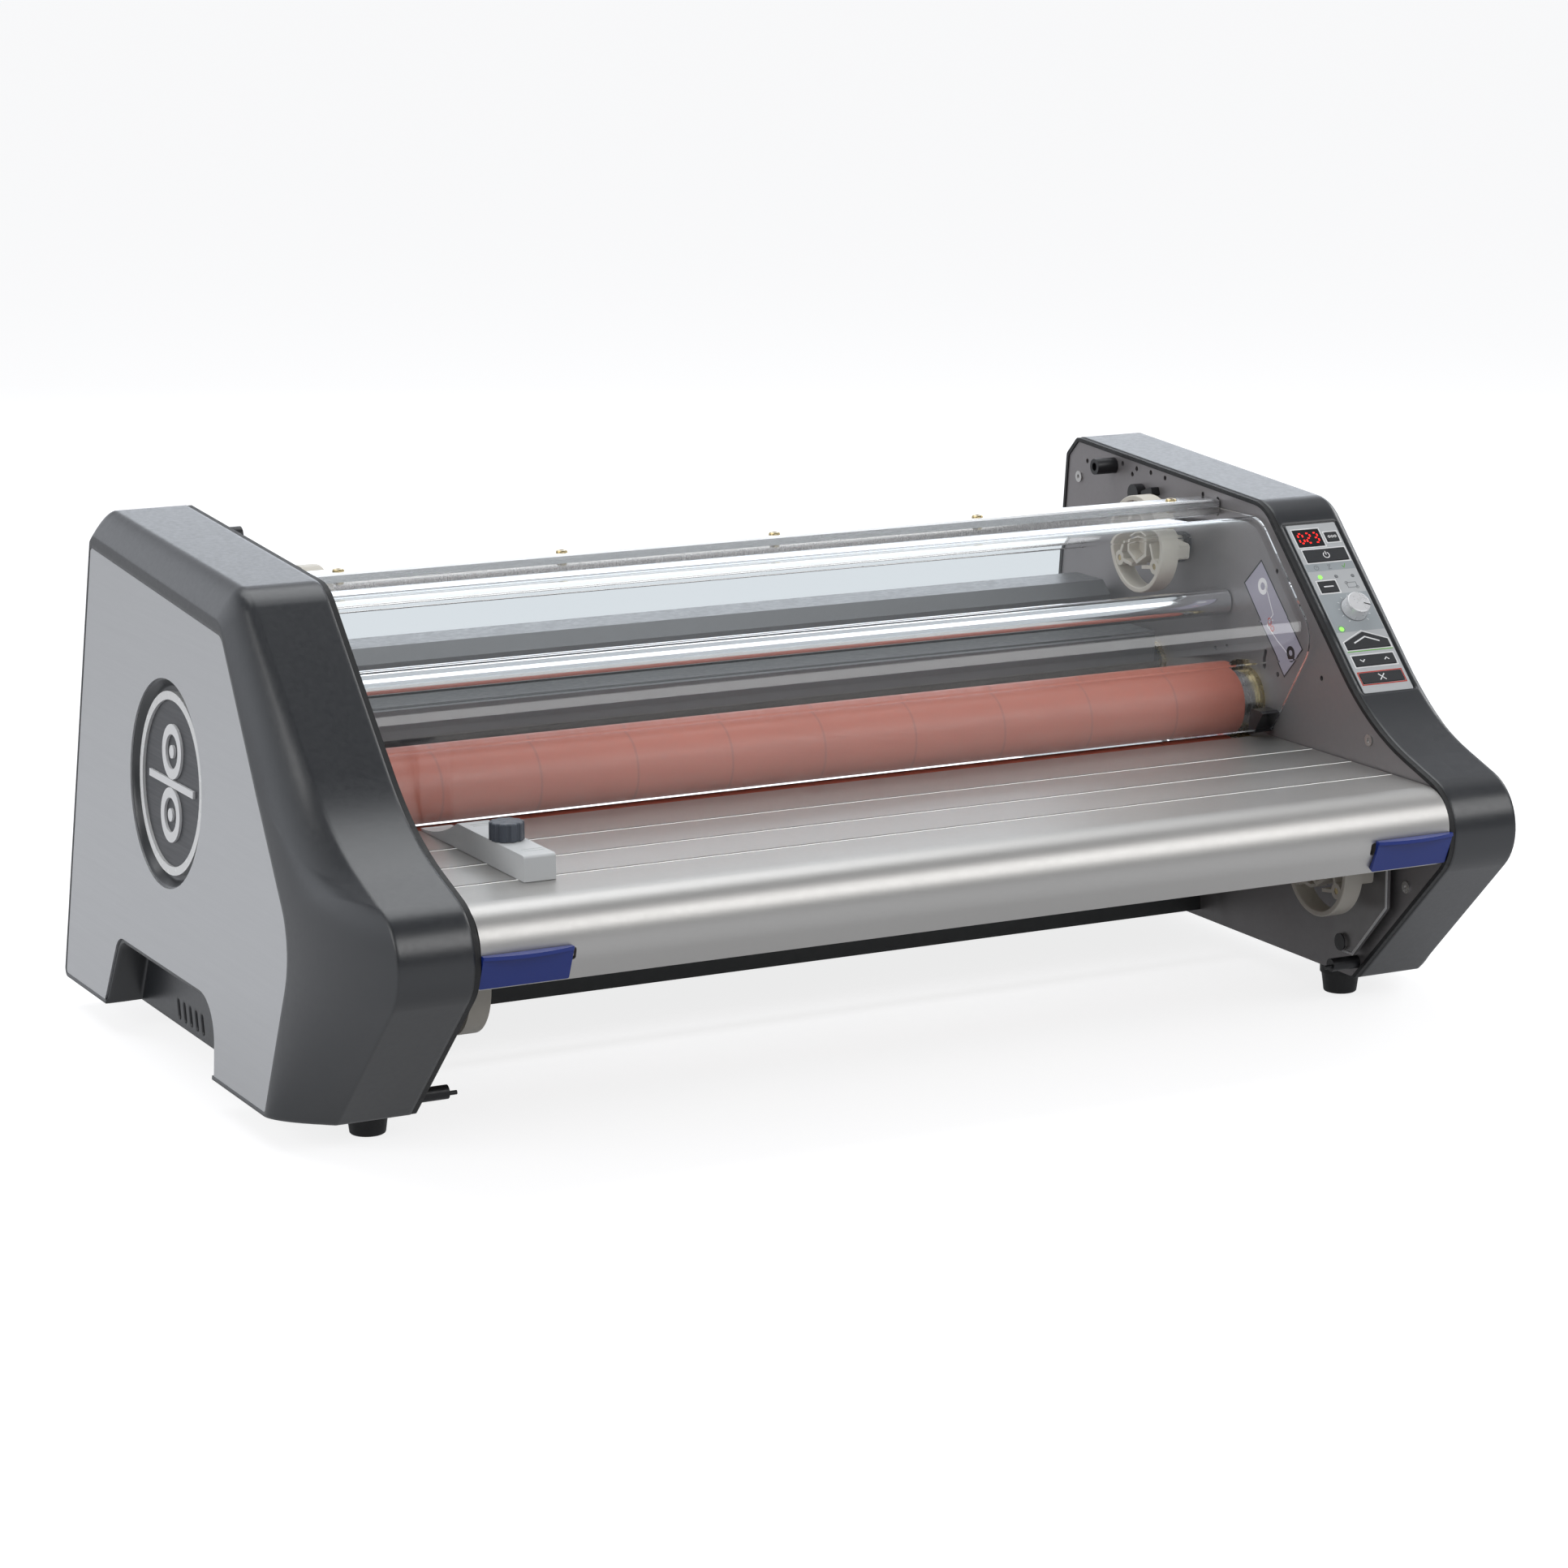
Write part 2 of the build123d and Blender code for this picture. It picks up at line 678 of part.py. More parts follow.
# ---------------------------------------------------------------- film chucks
def film_chuck(axis, hub_end):
    """Open core chuck: rim, three bosses on forked ribs, hub, core lug and axle pin."""
    bosses = (90.0, 210.0, 330.0)
    with BuildPart() as chuck:
        rod(axis, chuck_radius, chuck_face, chuck_face + chuck_rim)
        bore(axis, chuck_radius - 4.0, chuck_face - 1, chuck_face + chuck_rim + 1)
        with BuildSketch(side_plane(chuck_face + 1.0)):
            with Locations(axis):
                RegularPolygon(15.5, 6, rotation=30)
            for angle in bosses:
                with Locations(Location((*axis, 0), (0, 0, 1), angle)):
                    with Locations((28.5, 0)):
                        Circle(5.8)
                    for side in (-1, 1):
                        with Locations(Location((21.0, 6.2 * side), (0, 0, 1), -38 * side)):
                            Rectangle(16.0, 2.6)
            with Locations(axis):
                RegularPolygon(12.5, 6, rotation=30, mode=Mode.SUBTRACT)
        extrude(amount=chuck_rim - 1.0)
        rod(axis, 14.0, chuck_face + chuck_rim - 5.0, chuck_face + chuck_rim)
        for angle in bosses:
            centre = (axis[0] + 28.5 * cos(radians(angle)), axis[1] + 28.5 * sin(radians(angle)))
            bore(centre, 2.4, chuck_face, chuck_face + 7.0)
        rod(axis, 9.0, chuck_face + chuck_rim, hub_end)
        rod(axis, 8.0, hub_end, half_gap + 3.0)
        # Lug that catches the end of the film core.
        with BuildSketch(side_plane(chuck_face + chuck_rim)):
            with Locations(Location((*axis, 0), (0, 0, 1), 186.0)):
                with Locations((26.0, 0)):
                    RectangleRounded(18.0, 12.0, 3.0)
                with Locations((12.0, 0)):
                    Rectangle(12.0, 6.0)
        extrude(amount=11.0)
        front = chuck.edges().filter_by(GeomType.CIRCLE).group_by(Axis.X)[0]
        fillet(front, 0.8)
    return chuck.part


# ---------------------------------------------------------------- shield
def shield():
    """Clear bent shield over the rollers."""
    with BuildPart() as sheet:
        with BuildSketch(side_plane(-shield_end)):
            strip(shield_points, shield_radii, shield_thickness)
        extrude(amount=2 * shield_end)
        with BuildSketch(Plane.XY.offset(345.0)):
            with GridLocations(166.5, 1.0, 5, 1):
                with Locations((0, rail_y[0] + 13.0)):
                    Circle(2.1)
        extrude(amount=-10.0, mode=Mode.SUBTRACT)
    return sheet.part


def shield_rail():
    """Aluminium rail along the shield's top rear edge, with its two pivot pins."""
    with BuildPart() as rail:
        with BuildSketch(side_plane(-shield_end - 1.0)):
            with BuildLine():
                Polyline(
                    (rail_y[0], 341.2), (rail_y[0], 346.2), (rail_y[0] + 3.0, 347.2),
                    (rail_y[0] + 7.0, 347.2), (rail_y[0] + 8.0, 346.2), (rail_y[1] - 2.0, 346.2),
                    (rail_y[1], 346.2), (rail_y[1], 336.2), (rail_y[1] - 2.0, 336.2),
                    (rail_y[1] - 2.0, 341.2), close=True,
                )
            make_face()
        extrude(amount=2 * shield_end + 2.0)
        for x in (-half_gap + 0.5, shield_end + 1.0):
            rod((rail_y[0] + 13.0, 343.8), 2.5, x, x + half_gap - 0.5 - shield_end - 1.0)
        with BuildSketch(Plane.XY.offset(347.5)):
            with GridLocations(166.5, 1.0, 5, 1):
                with Locations((0, rail_y[0] + 13.0)):
                    Circle(2.1)
        extrude(amount=-7.0, mode=Mode.SUBTRACT)
    return rail.part


def shield_screws():
    """Five brass screws through the rail and the shield."""
    with BuildPart() as screws:
        with BuildSketch(Plane.XY.offset(346.2)):
            with GridLocations(166.5, 1.0, 5, 1):
                with Locations((0, rail_y[0] + 13.0)):
                    Circle(4.2)
        extrude(amount=2.2)
        tops = screws.edges().group_by(Axis.Z)[-1]
        chamfer(tops, 0.8)
        with BuildSketch(Plane.XY.offset(348.4)):
            with GridLocations(166.5, 1.0, 5, 1):
                with Locations((0, rail_y[0] + 13.0)):
                    RegularPolygon(1.7, 6)
        extrude(amount=-1.2, mode=Mode.SUBTRACT)
        with BuildSketch(Plane.XY.offset(346.2)):
            with GridLocations(166.5, 1.0, 5, 1):
                with Locations((0, rail_y[0] + 13.0)):
                    Circle(2.0)
        extrude(amount=-11.4)
        with BuildSketch(Plane.XY.offset(338.1)):
            with GridLocations(166.5, 1.0, 5, 1):
                with Locations((0, rail_y[0] + 13.0)):
                    RegularPolygon(3.8, 6)
        extrude(amount=-2.6)
    return screws.part


def shield_hook():
    """Black rest block on a lower corner of the shield."""
    with BuildPart() as hook:
        with BuildSketch(side_plane(352.0)):
            with BuildLine():
                FilletPolyline(
                    (-63.0, 202.5), (-50.0, 202.5), (-47.0, 187.0), (-52.0, 183.0), (-58.0, 184.6),
                    (-59.0, 190.0), (-66.6, 200.8),
                    radius=[1.5, 2.0, 1.5, 1.0, 1.0, 0.8, 0.8], close=True,
                )
            make_face()
        extrude(amount=14.5)
        add(shield_sheet, mode=Mode.SUBTRACT)
    return hook.part


# ---------------------------------------------------------------- feed tray
def feed_tray():
    """Silver feed tray: grooved flat top, rolled nose, folded skirt and pivot lugs."""
    centre = (tray_fold, tray_top - tray_nose_radius)
    skirt_lean = radians(tray_skirt_lean)

    def rim(radius):
        """Tray surface at this nose radius, from the rear edge to the skirt's lower edge."""
        start = (centre[0] - radius * cos(skirt_lean), centre[1] - radius * sin(skirt_lean))
        tail = (start[0] + (start[1] - tray_bottom) * sin(skirt_lean) / cos(skirt_lean), tray_bottom)
        top_line = Line((tray_rear, centre[1] + radius), (centre[0], centre[1] + radius))
        nose = ThreePointArc(
            top_line @ 1,
            (centre[0] - radius * cos(radians(30.0)), centre[1] + radius * sin(radians(30.0))),
            start,
        )
        return top_line, Line(nose @ 1, tail)

    with BuildPart() as tray:
        with BuildSketch(side_plane(-tray_end)):
            with BuildLine():
                outer = rim(tray_nose_radius)
                inner = rim(tray_nose_radius - tray_thickness)
                Line(outer[0] @ 0, inner[0] @ 0)
                Line(outer[1] @ 1, inner[1] @ 1)
            make_face()
            for i in range(3):
                with Locations((first_groove - i * groove_pitch, tray_top)):
                    Rectangle(2.2, 4.0, mode=Mode.SUBTRACT)
        extrude(amount=2 * tray_end)
        # Lugs with the pivot pins at the rear, stiffening ribs under the top.
        with BuildSketch(side_plane(-tray_end)):
            with Locations((tray_pivot[0] - 4.0, tray_top - tray_thickness - 5.5)):
                Rectangle(18.0, 11.0)
        extrude(amount=8.0)
        with BuildSketch(side_plane(tray_end - 8.0)):
            with Locations((tray_pivot[0] - 4.0, tray_top - tray_thickness - 5.5)):
                Rectangle(18.0, 11.0)
        extrude(amount=8.0)
        for x in (-half_gap + 0.5, tray_end):
            rod(tray_pivot, 3.0, x, x + half_gap - 0.5 - tray_end)
        with BuildSketch(side_plane(-tray_end + 8.0)):
            for y in (-83.0, -133.5, -184.0, -234.0):
                with Locations((y, tray_top - tray_thickness - 2.4)):
                    Rectangle(2.4, 5.0)
        extrude(amount=2 * tray_end - 16.0)
        # Slots for the latches through the nose, near each end.
        for x in (-333.5, 333.5):
            with BuildSketch(Plane.XZ.offset(240.0)):
                with Locations((x, 147.0)):
                    RectangleRounded(63.0, 9.0, 2.0)
            extrude(amount=50.0, mode=Mode.SUBTRACT)
    return tray.part


def tray_latch():
    """Blue finger latch on the tray's nose, with the bolt that enters the side plate."""
    with BuildPart() as latch:
        # Face plate that follows the nose and the skirt, 0.5 mm off them.
        with BuildSketch(side_plane(305.5)):
            with BuildLine():
                Polyline(
                    (-281.5, 153.0), (-284.6, 153.0), (-283.9, 148.6), (-276.1, 129.9),
                    (-273.4, 131.3), (-278.4, 140.8), (-280.75, 146.85), close=True,
                )
            make_face()
        extrude(amount=62.0)
        corners = latch.edges().filter_by(Axis.X, reverse=True).group_by(Axis.Z)[0]
        fillet(corners.filter_by(lambda e: e.length < 4.0), 1.2)
        # Finger lip with a bowed front edge.
        with BuildSketch(Plane.XY.offset(150.6)):
            with BuildLine():
                Polyline((305.5, -285.4), (305.5, -283.0), (367.5, -283.0), (367.5, -285.4))
                ThreePointArc((367.5, -285.4), (336.5, -290.4), (305.5, -285.4))
            make_face()
        extrude(amount=2.4)
        # Stem through the tray's slot and spring bolt behind it.
        with BuildSketch(Plane.XZ.offset(258.0)):
            with Locations((343.0, 147.0)):
                Rectangle(40.0, 6.0)
        extrude(amount=24.0)
        rod((-259.0, 157.5), 3.2, 330.0, plate_x - 1.2)
        with BuildSketch(Plane.XZ.offset(255.0)):
            with Locations((343.0, 151.5)):
                Rectangle(24.0, 15.0)
        extrude(amount=5.0)
    return latch.part


# ---------------------------------------------------------------- feed guide
def feed_guide():
    """Side guide for the sheet: bar with a swept tip and a tongue in the front groove."""
    with BuildPart() as guide:
        with BuildSketch(side_plane(-311.0)):
            with BuildLine():
                Line((-221.0, 198.0), (-113.0, 198.0))
                ThreePointArc((-113.0, 198.0), (-86.0, 187.4), (-50.0, 182.2))
                Line((-50.0, 182.2), (-51.0, 180.8))
                Line((-51.0, 180.8), (-221.0, 180.8))
                Line((-221.0, 180.8), (-221.0, 198.0))
            make_face()
        extrude(amount=22.5)
        top_front = guide.edges().filter_by(Axis.X).group_by(Axis.Z)[-1].sort_by(Axis.Y)[0]
        fillet(top_front, 2.0)
        # Pairs of index lines near both ends of the flat top.
        with BuildSketch(Plane.XY.offset(198.0)):
            with Locations(*[(-297.6, y) for y in (-208.0, -203.4, -126.0, -121.4)]):
                Rectangle(15.0, 0.8)
        extrude(amount=-0.5, mode=Mode.SUBTRACT)
        with BuildSketch(Plane.XY.offset(180.8)):
            with Locations((-299.8, first_groove - 2 * groove_pitch)):
                Rectangle(22.5, 1.6)
        extrude(amount=-1.6)
        with BuildSketch(Plane.XY.offset(198.5)):
            with Locations(knob_centre):
                Circle(3.0)
        extrude(amount=-14.0, mode=Mode.SUBTRACT)
    return guide.part


def guide_knob():
    """Fluted clamp knob of the feed guide."""
    with BuildPart() as knob:
        with BuildSketch(Plane.XY.offset(198.4)):
            with Locations(knob_centre):
                Circle(11.6)
                with PolarLocations(12.6, 10):
                    Circle(2.1, mode=Mode.SUBTRACT)
        extrude(amount=12.0)
        fillet(knob.edges().group_by(Axis.Z)[-1], 1.2)
        with BuildSketch(Plane.XY.offset(198.4)):
            with Locations(knob_centre):
                Circle(2.94)
        extrude(amount=-12.0)
    return knob.part


# ---------------------------------------------------------------- control panel
# Each control: its outline on the slope as centre x, distance down the slope, width, height.
display_place = (391.8, 33.8, 22.4, 15.0)
control_places = {
    "button_preset": (412.1, 34.3, 10.2, 8.0),
    "button_power": (399.8, 50.0, 36.0, 10.6),
    "button_film": (389.2, 77.9, 15.0, 9.6),
    "rocker_speed": (398.6, 144.4, 35.0, 8.8),
    "button_stop": (398.2, 159.5, 36.0, 8.8),
}
run_corners = [
    (380.6, 127.6), (399.0, 119.8), (417.6, 127.6), (417.6, 134.0), (380.6, 134.0)
]
speed_knob_place = (401.5, 99.5)
led_places = [(386.0, 69.0), (400.0, 69.4), (414.0, 70.0), (383.4, 115.6)]


def panel_overlay():
    """Silver overlay in the cover's front slope, with an opening for each control."""
    with BuildPart() as overlay:
        with BuildSketch(slope_plane.offset(-1.15)):
            with Locations((overlay_centre[0], -overlay_centre[1])):
                RectangleRounded(*overlay_size, 1.0)
            for x, down, width, height in [*control_places.values(), display_place]:
                with Locations((x, -down)):
                    Rectangle(width + 0.6, height + 0.6, mode=Mode.SUBTRACT)
            with BuildLine():
                Polyline(*[(x, -s) for x, s in inset(run_corners, [0] * 5, -0.3)[0]], close=True)
            make_face(mode=Mode.SUBTRACT)
            with Locations((speed_knob_place[0], -speed_knob_place[1])):
                Circle(4.0, mode=Mode.SUBTRACT)
            with Locations(*[(x, -s) for x, s in led_places]):
                Circle(1.5, mode=Mode.SUBTRACT)
        extrude(amount=0.9)
    return overlay.part


def display_window():
    """Dark window over the numeric display, with the indicator lenses beside it."""
    with BuildPart() as window:
        with BuildSketch(slope_plane.offset(-4.0)):
            with Locations((display_place[0], -display_place[1])):
                Rectangle(display_place[2], display_place[3])
            with Locations(*[(x, -s) for x, s in led_places]):
                Circle(1.4)
        extrude(amount=3.85)
    return window.part


def push_button(place):
    """Rectangular key cap: face above the overlay, skirt and stem below it."""
    x, down, width, height = place
    with BuildPart() as key:
        with BuildSketch(slope_plane.offset(-3.4)):
            with Locations((x, -down)):
                Rectangle(width, height)
        extrude(amount=3.7)
        fillet(key.edges().filter_by(Axis(slope_plane.origin, slope_plane.z_dir)), 1.2)
        with BuildSketch(slope_plane.offset(-3.4)):
            with Locations((x, -down)):
                Rectangle(4.0, 3.0)
        extrude(amount=-2.8)
    return key.part


def run_button():
    """Chevron-shaped run key."""
    with BuildPart() as key:
        with BuildSketch(slope_plane.offset(-3.4)):
            with BuildLine():
                Polyline(*[(x, -s) for x, s in run_corners], close=True)
            make_face()
        extrude(amount=3.7)
        with BuildSketch(slope_plane.offset(-3.4)):
            with Locations((399.0, -129.0)):
                Rectangle(4.0, 3.0)
        extrude(amount=-2.8)
    return key.part


def speed_knob():
    """Rotary speed knob with a pointer groove and its spindle."""
    place = (speed_knob_place[0], -speed_knob_place[1])
    with BuildPart() as knob:
        with BuildSketch(slope_plane.offset(0.1)):
            with Locations(place):
                Circle(10.2)
        with BuildSketch(slope_plane.offset(9.5)):
            with Locations(place):
                Circle(9.0)
        loft()
        fillet(knob.edges().filter_by(GeomType.CIRCLE).sort_by(Axis.Z)[-1], 0.8)
        with BuildSketch(slope_plane.offset(9.5)):
            with Locations((place[0] + 5.6, place[1] - 2.4)):
                Rectangle(5.4, 1.0, rotation=-23)
        extrude(amount=-0.7, mode=Mode.SUBTRACT)
        with BuildSketch(slope_plane.offset(0.1)):
            with Locations(place):
                Circle(3.0)
        extrude(amount=-8.0)
    return knob.part


def control_board():
    """Circuit board behind the control panel, on two posts from the side plate."""
    with BuildPart() as board:
        with BuildSketch(slope_plane.offset(-11.0)):
            with Locations((396.5, -96.5)):
                Rectangle(41.0, 140.0)
            with Locations((speed_knob_place[0], -speed_knob_place[1])):
                Circle(3.4, mode=Mode.SUBTRACT)
        extrude(amount=1.6)
        for x, down, width, height in [*control_places.values(), (399.0, 129.0, 0.0, 0.0)]:
            with BuildSketch(slope_plane.offset(-9.4)):
                with Locations((x, -down)):
                    Rectangle(6.0, 6.0)
            extrude(amount=2.0)
        for down in (40.0, 152.0):
            with BuildSketch(side_plane(half_gap)):
                with Locations(Location((*slope_point(down, -10.2), 0), (0, 0, 1), 45)):
                    Rectangle(1.6, 8.0)
            extrude(amount=6.0)
    return board.part


def slope_point(down, height):
    """The (y, z) of a point this far down the slope and this high above it."""
    point = slope_plane.from_local_coords((0, -down, height))
    return point.Y, point.Z


# ---------------------------------------------------------------- drive and power
def drive_motor():
    """Geared motor on the right-hand side plate."""
    axis = (motor_y, motor_z)
    with BuildPart() as motor:
        rod(axis, 27.0, 341.0, plate_x)
        rod(axis, 24.0, 281.0, 341.0)
        rod(axis, 7.0, 276.0, 281.0)
        rod(axis, 15.8, plate_x, half_gap)
        bore(axis, 4.0 + running_gap, 330.0, half_gap + 1)
    return motor.part


def motor_pinion():
    """Pinion on the motor's output shaft, with a tooth facing a gap of the transfer gear."""
    transfer_step = 360.0 / transfer_teeth
    gap_offset = (pinion_angle / transfer_step) % 1.0
    phase = pinion_angle + 180.0 + (gap_offset + 0.5) * 360.0 / pinion_teeth
    with BuildPart() as pinion:
        add(gear((motor_y, motor_z), pinion_teeth, phase, 4.0, gear_x, gear_width))
        rod((motor_y, motor_z), 4.0, 331.0, gear_x + gear_width + 2.0)
    return pinion.part


def power_inlet():
    """Appliance inlet in the rear cover, with its three pins."""
    with BuildPart() as inlet:
        with BuildSketch(Plane.XZ.offset(-263.0)):
            with Locations((-300.0, 70.0)):
                RectangleRounded(36.0, 28.0, 3.0)
        extrude(amount=3.0)
        with BuildSketch(Plane.XZ.offset(-260.0)):
            with Locations((-300.0, 70.0)):
                Rectangle(27.0, 20.0)
        extrude(amount=22.0)
        with BuildSketch(Plane.XZ.offset(-263.0)):
            with Locations((-300.0, 70.0)):
                RectangleRounded(24.0, 16.5, 3.0)
        extrude(amount=17.0, mode=Mode.SUBTRACT)
        with BuildSketch(Plane.XZ.offset(-246.0)):
            with Locations((-307.0, 68.0), (-293.0, 68.0), (-300.0, 73.0)):
                Rectangle(2.0, 4.0)
        extrude(amount=-15.0)
    return inlet.part


def power_switch():
    """Rocker of the mains switch, turning about a pin along X."""
    section = [(4.4, 8.9), (6.4, 8.9), (4.8, 0.0), (6.4, -8.9), (4.4, -8.9), (-6.0, -5.0), (-6.0, 5.0)]
    with BuildPart() as rocker:
        with BuildSketch(side_plane(-267.8)):
            with Locations(Location((258.0, 70.0, 0), (0, 0, 1), -8.0)):
                Polygon(*section, align=None)
        extrude(amount=11.6)
        rod((258.0, 70.0), 1.5, -268.1, -255.9)
    return rocker.part


# ---------------------------------------------------------------- write every piece
def write_casing():
    save(mirror(side_cover(False), about=Plane.YZ), "side_cover_left")
    save(side_cover(True), "side_cover_right")
    save_both(face_panel(), "face_panels")
    save_both(badge_ring(), "badge_rings")
    save_both(badge_disc(), "badge_discs")
    save_both(edge_seal(), "edge_seals")


def write_frame():
    save(mirror(side_plate(False), about=Plane.YZ), "side_plate_left")
    save(side_plate(True), "side_plate_right")
    save(base_pan(), "base_pan")
    save(rear_cover(), "rear_cover")
    save(cooling_duct(), "cooling_duct")
    save(tie_bars(), "tie_bars")
    save(frame_studs(), "frame_studs")
    save_both(chuck_bracket(), "chuck_brackets")
    save_both(foot(), "feet")
    save_both(frame_screws(), "frame_screws")
    save_both(roller_bearings(), "roller_bearings")
    save_both(heater_brackets(), "heater_brackets")
    save(heater_tubes(), "heater_tubes")
    save_both(tension_rings(), "tension_rings")


def write_rollers():
    save(heat_core(upper_z), "upper_heat_core")
    save(heat_core(lower_z), "lower_heat_core")
    save(heat_sleeve(upper_z), "upper_heat_sleeve")
    save(heat_sleeve(lower_z), "lower_heat_sleeve")
    save(pull_roller(upper_z), "upper_pull_roller")
    save(pull_roller(lower_z), "lower_pull_roller")
    save(idler(upper_idler, idler_radius, plate_x - 0.5), "upper_idler")
    save(idler(lower_idler, 8.0, plate_x - 0.5), "lower_idler")


def write_gears():
    half_step = 180.0 / heat_teeth
    # One tooth of a lower gear points straight up; the upper gear has a gap facing it.
    places = {
        "upper_heat_gear": ((heat_y, upper_z), heat_teeth, -90.0 + half_step),
        "lower_heat_gear": ((heat_y, lower_z), heat_teeth, 90.0),
        "upper_pull_gear": ((pull_y, upper_z), heat_teeth, -90.0 + half_step),
        "lower_pull_gear": ((pull_y, lower_z), heat_teeth, 90.0),
    }
    for name, (centre, teeth, phase) in places.items():
        save(gear(centre, teeth, phase, stub_radius, gear_x, gear_width), name)
    # A 26-tooth gear with a tooth at 90 degrees has a gap at 0 degrees and at 180 degrees.
    transfer_bore = 5.0 + running_gap
    save(
        gear((transfer_y, lower_z), transfer_teeth, 0.0, transfer_bore, gear_x, gear_width),
        "transfer_gear",
    )
    save(motor_pinion(), "motor_pinion")


def write_supply():
    save_pair(film_chuck(upper_supply, 366.0), "upper_chuck")
    save_pair(film_chuck(lower_supply, 361.0), "lower_chuck")


def write_shield():
    save(shield_sheet, "shield")
    save(shield_rail(), "shield_rail")
    save(shield_screws(), "shield_screws")
    save_both(shield_hook(), "shield_hooks")


def write_tray():
    save(feed_tray(), "feed_tray")
    save_pair(tray_latch(), "tray_latch")
    save(feed_guide(), "feed_guide")
    save(guide_knob(), "guide_knob")


def write_controls():
    save(panel_overlay(), "panel_overlay")
    save(display_window(), "display_window")
    for name, place in control_places.items():
        save(push_button(place), name)
    save(run_button(), "button_run")
    save(speed_knob(), "speed_knob")
    save(control_board(), "control_board")


def write_power():
    save(drive_motor(), "drive_motor")
    save(power_inlet(), "power_inlet")
    save(power_switch(), "power_switch")


shield_sheet = shield()
write_casing()
write_frame()
write_rollers()
write_gears()
write_supply()
write_shield()
write_tray()
write_controls()
write_power()
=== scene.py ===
"""Looks for the tabletop roll laminator: materials, printed details, light and camera."""
import bpy
import bmesh
import json
from math import cos, hypot, pi, radians, sin
from mathutils import Matrix, Vector


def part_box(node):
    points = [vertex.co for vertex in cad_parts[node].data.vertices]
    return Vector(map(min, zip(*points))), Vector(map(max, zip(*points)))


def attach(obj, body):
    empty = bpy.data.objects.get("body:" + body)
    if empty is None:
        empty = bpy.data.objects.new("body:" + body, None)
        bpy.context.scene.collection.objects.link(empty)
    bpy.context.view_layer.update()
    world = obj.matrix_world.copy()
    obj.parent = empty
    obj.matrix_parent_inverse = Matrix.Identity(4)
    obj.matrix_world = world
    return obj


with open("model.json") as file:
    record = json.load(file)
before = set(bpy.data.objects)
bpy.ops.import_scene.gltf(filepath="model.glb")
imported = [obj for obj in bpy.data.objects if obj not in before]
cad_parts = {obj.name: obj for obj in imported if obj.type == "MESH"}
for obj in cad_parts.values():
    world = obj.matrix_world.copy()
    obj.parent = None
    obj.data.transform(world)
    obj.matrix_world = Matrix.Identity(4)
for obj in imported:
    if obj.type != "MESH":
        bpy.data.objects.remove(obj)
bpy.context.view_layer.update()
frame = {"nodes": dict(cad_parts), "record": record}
mm = 0.001


# ---------------------------------------------------------------- material building blocks
def new_material(name):
    """A material with one Principled shader; returns it with its node tree and shader."""
    material = bpy.data.materials.new(name)
    material.use_nodes = True
    tree = material.node_tree
    return material, tree, tree.nodes["Principled BSDF"]


def coordinates(tree, stretch=(1.0, 1.0, 1.0)):
    """Object coordinates in metres, stretched per axis."""
    source = tree.nodes.new("ShaderNodeTexCoord")
    mapping = tree.nodes.new("ShaderNodeMapping")
    mapping.inputs["Scale"].default_value = stretch
    tree.links.new(source.outputs["Object"], mapping.inputs["Vector"])
    return mapping.outputs["Vector"]


def noise(tree, vector, scale, detail=2.0):
    """Noise from 0 to 1 at this many cycles per metre."""
    texture = tree.nodes.new("ShaderNodeTexNoise")
    texture.inputs["Scale"].default_value = scale
    texture.inputs["Detail"].default_value = detail
    tree.links.new(vector, texture.inputs["Vector"])
    return texture.outputs["Fac"]


def spread(tree, value, low, high, start=0.3, end=0.7):
    """Map a 0 to 1 value onto low to high."""
    ramp = tree.nodes.new("ShaderNodeMapRange")
    ramp.inputs["From Min"].default_value = start
    ramp.inputs["From Max"].default_value = end
    ramp.inputs["To Min"].default_value = low
    ramp.inputs["To Max"].default_value = high
    tree.links.new(value, ramp.inputs["Value"])
    return ramp.outputs["Result"]


def blend_colours(tree, factor, first, second):
    """Mix two colours (or a colour socket and a colour) by a factor socket."""
    mix = tree.nodes.new("ShaderNodeMix")
    mix.data_type = "RGBA"
    tree.links.new(factor, mix.inputs["Factor"])
    for socket, value in ((mix.inputs["A"], first), (mix.inputs["B"], second)):
        if isinstance(value, bpy.types.NodeSocket):
            tree.links.new(value, socket)
        else:
            socket.default_value = (*value, 1.0)
    return mix.outputs["Result"]


def bump(tree, shader, height, depth, strength=1.0):
    """Feed a height of 0 to 1 into the shader's normal, depth in metres."""
    node = tree.nodes.new("ShaderNodeBump")
    node.inputs["Strength"].default_value = strength
    node.inputs["Distance"].default_value = depth
    tree.links.new(height, node.inputs["Height"])
    tree.links.new(node.outputs["Normal"], shader.inputs["Normal"])
    return node


def surface(name, colour, rough, metal=0.0, tone=0.08, tone_scale=9.0, rough_range=0.06,
            grain=1400.0, depth=0.00003, stretch=(1.0, 1.0, 1.0), coat=0.0, level=0.5):
    """A material with slow colour changes, uneven roughness and a fine grain in its bump."""
    material, tree, shader = new_material(name)
    shader.inputs["Metallic"].default_value = metal
    shader.inputs["Specular IOR Level"].default_value = level
    shader.inputs["Coat Weight"].default_value = coat
    shader.inputs["Coat Roughness"].default_value = 0.12
    vector = coordinates(tree, stretch)
    slow = noise(tree, vector, tone_scale, 3.0)
    darker = tuple(c * (1.0 - tone) for c in colour)
    lighter = tuple(min(c * (1.0 + tone), 1.0) for c in colour)
    tree.links.new(blend_colours(tree, slow, darker, lighter), shader.inputs["Base Color"])
    fine = noise(tree, vector, grain, 2.0)
    uneven = spread(tree, noise(tree, vector, grain * 0.11, 3.0), rough - rough_range, rough + rough_range)
    tree.links.new(uneven, shader.inputs["Roughness"])
    bump(tree, shader, fine, depth)
    return material, tree, shader


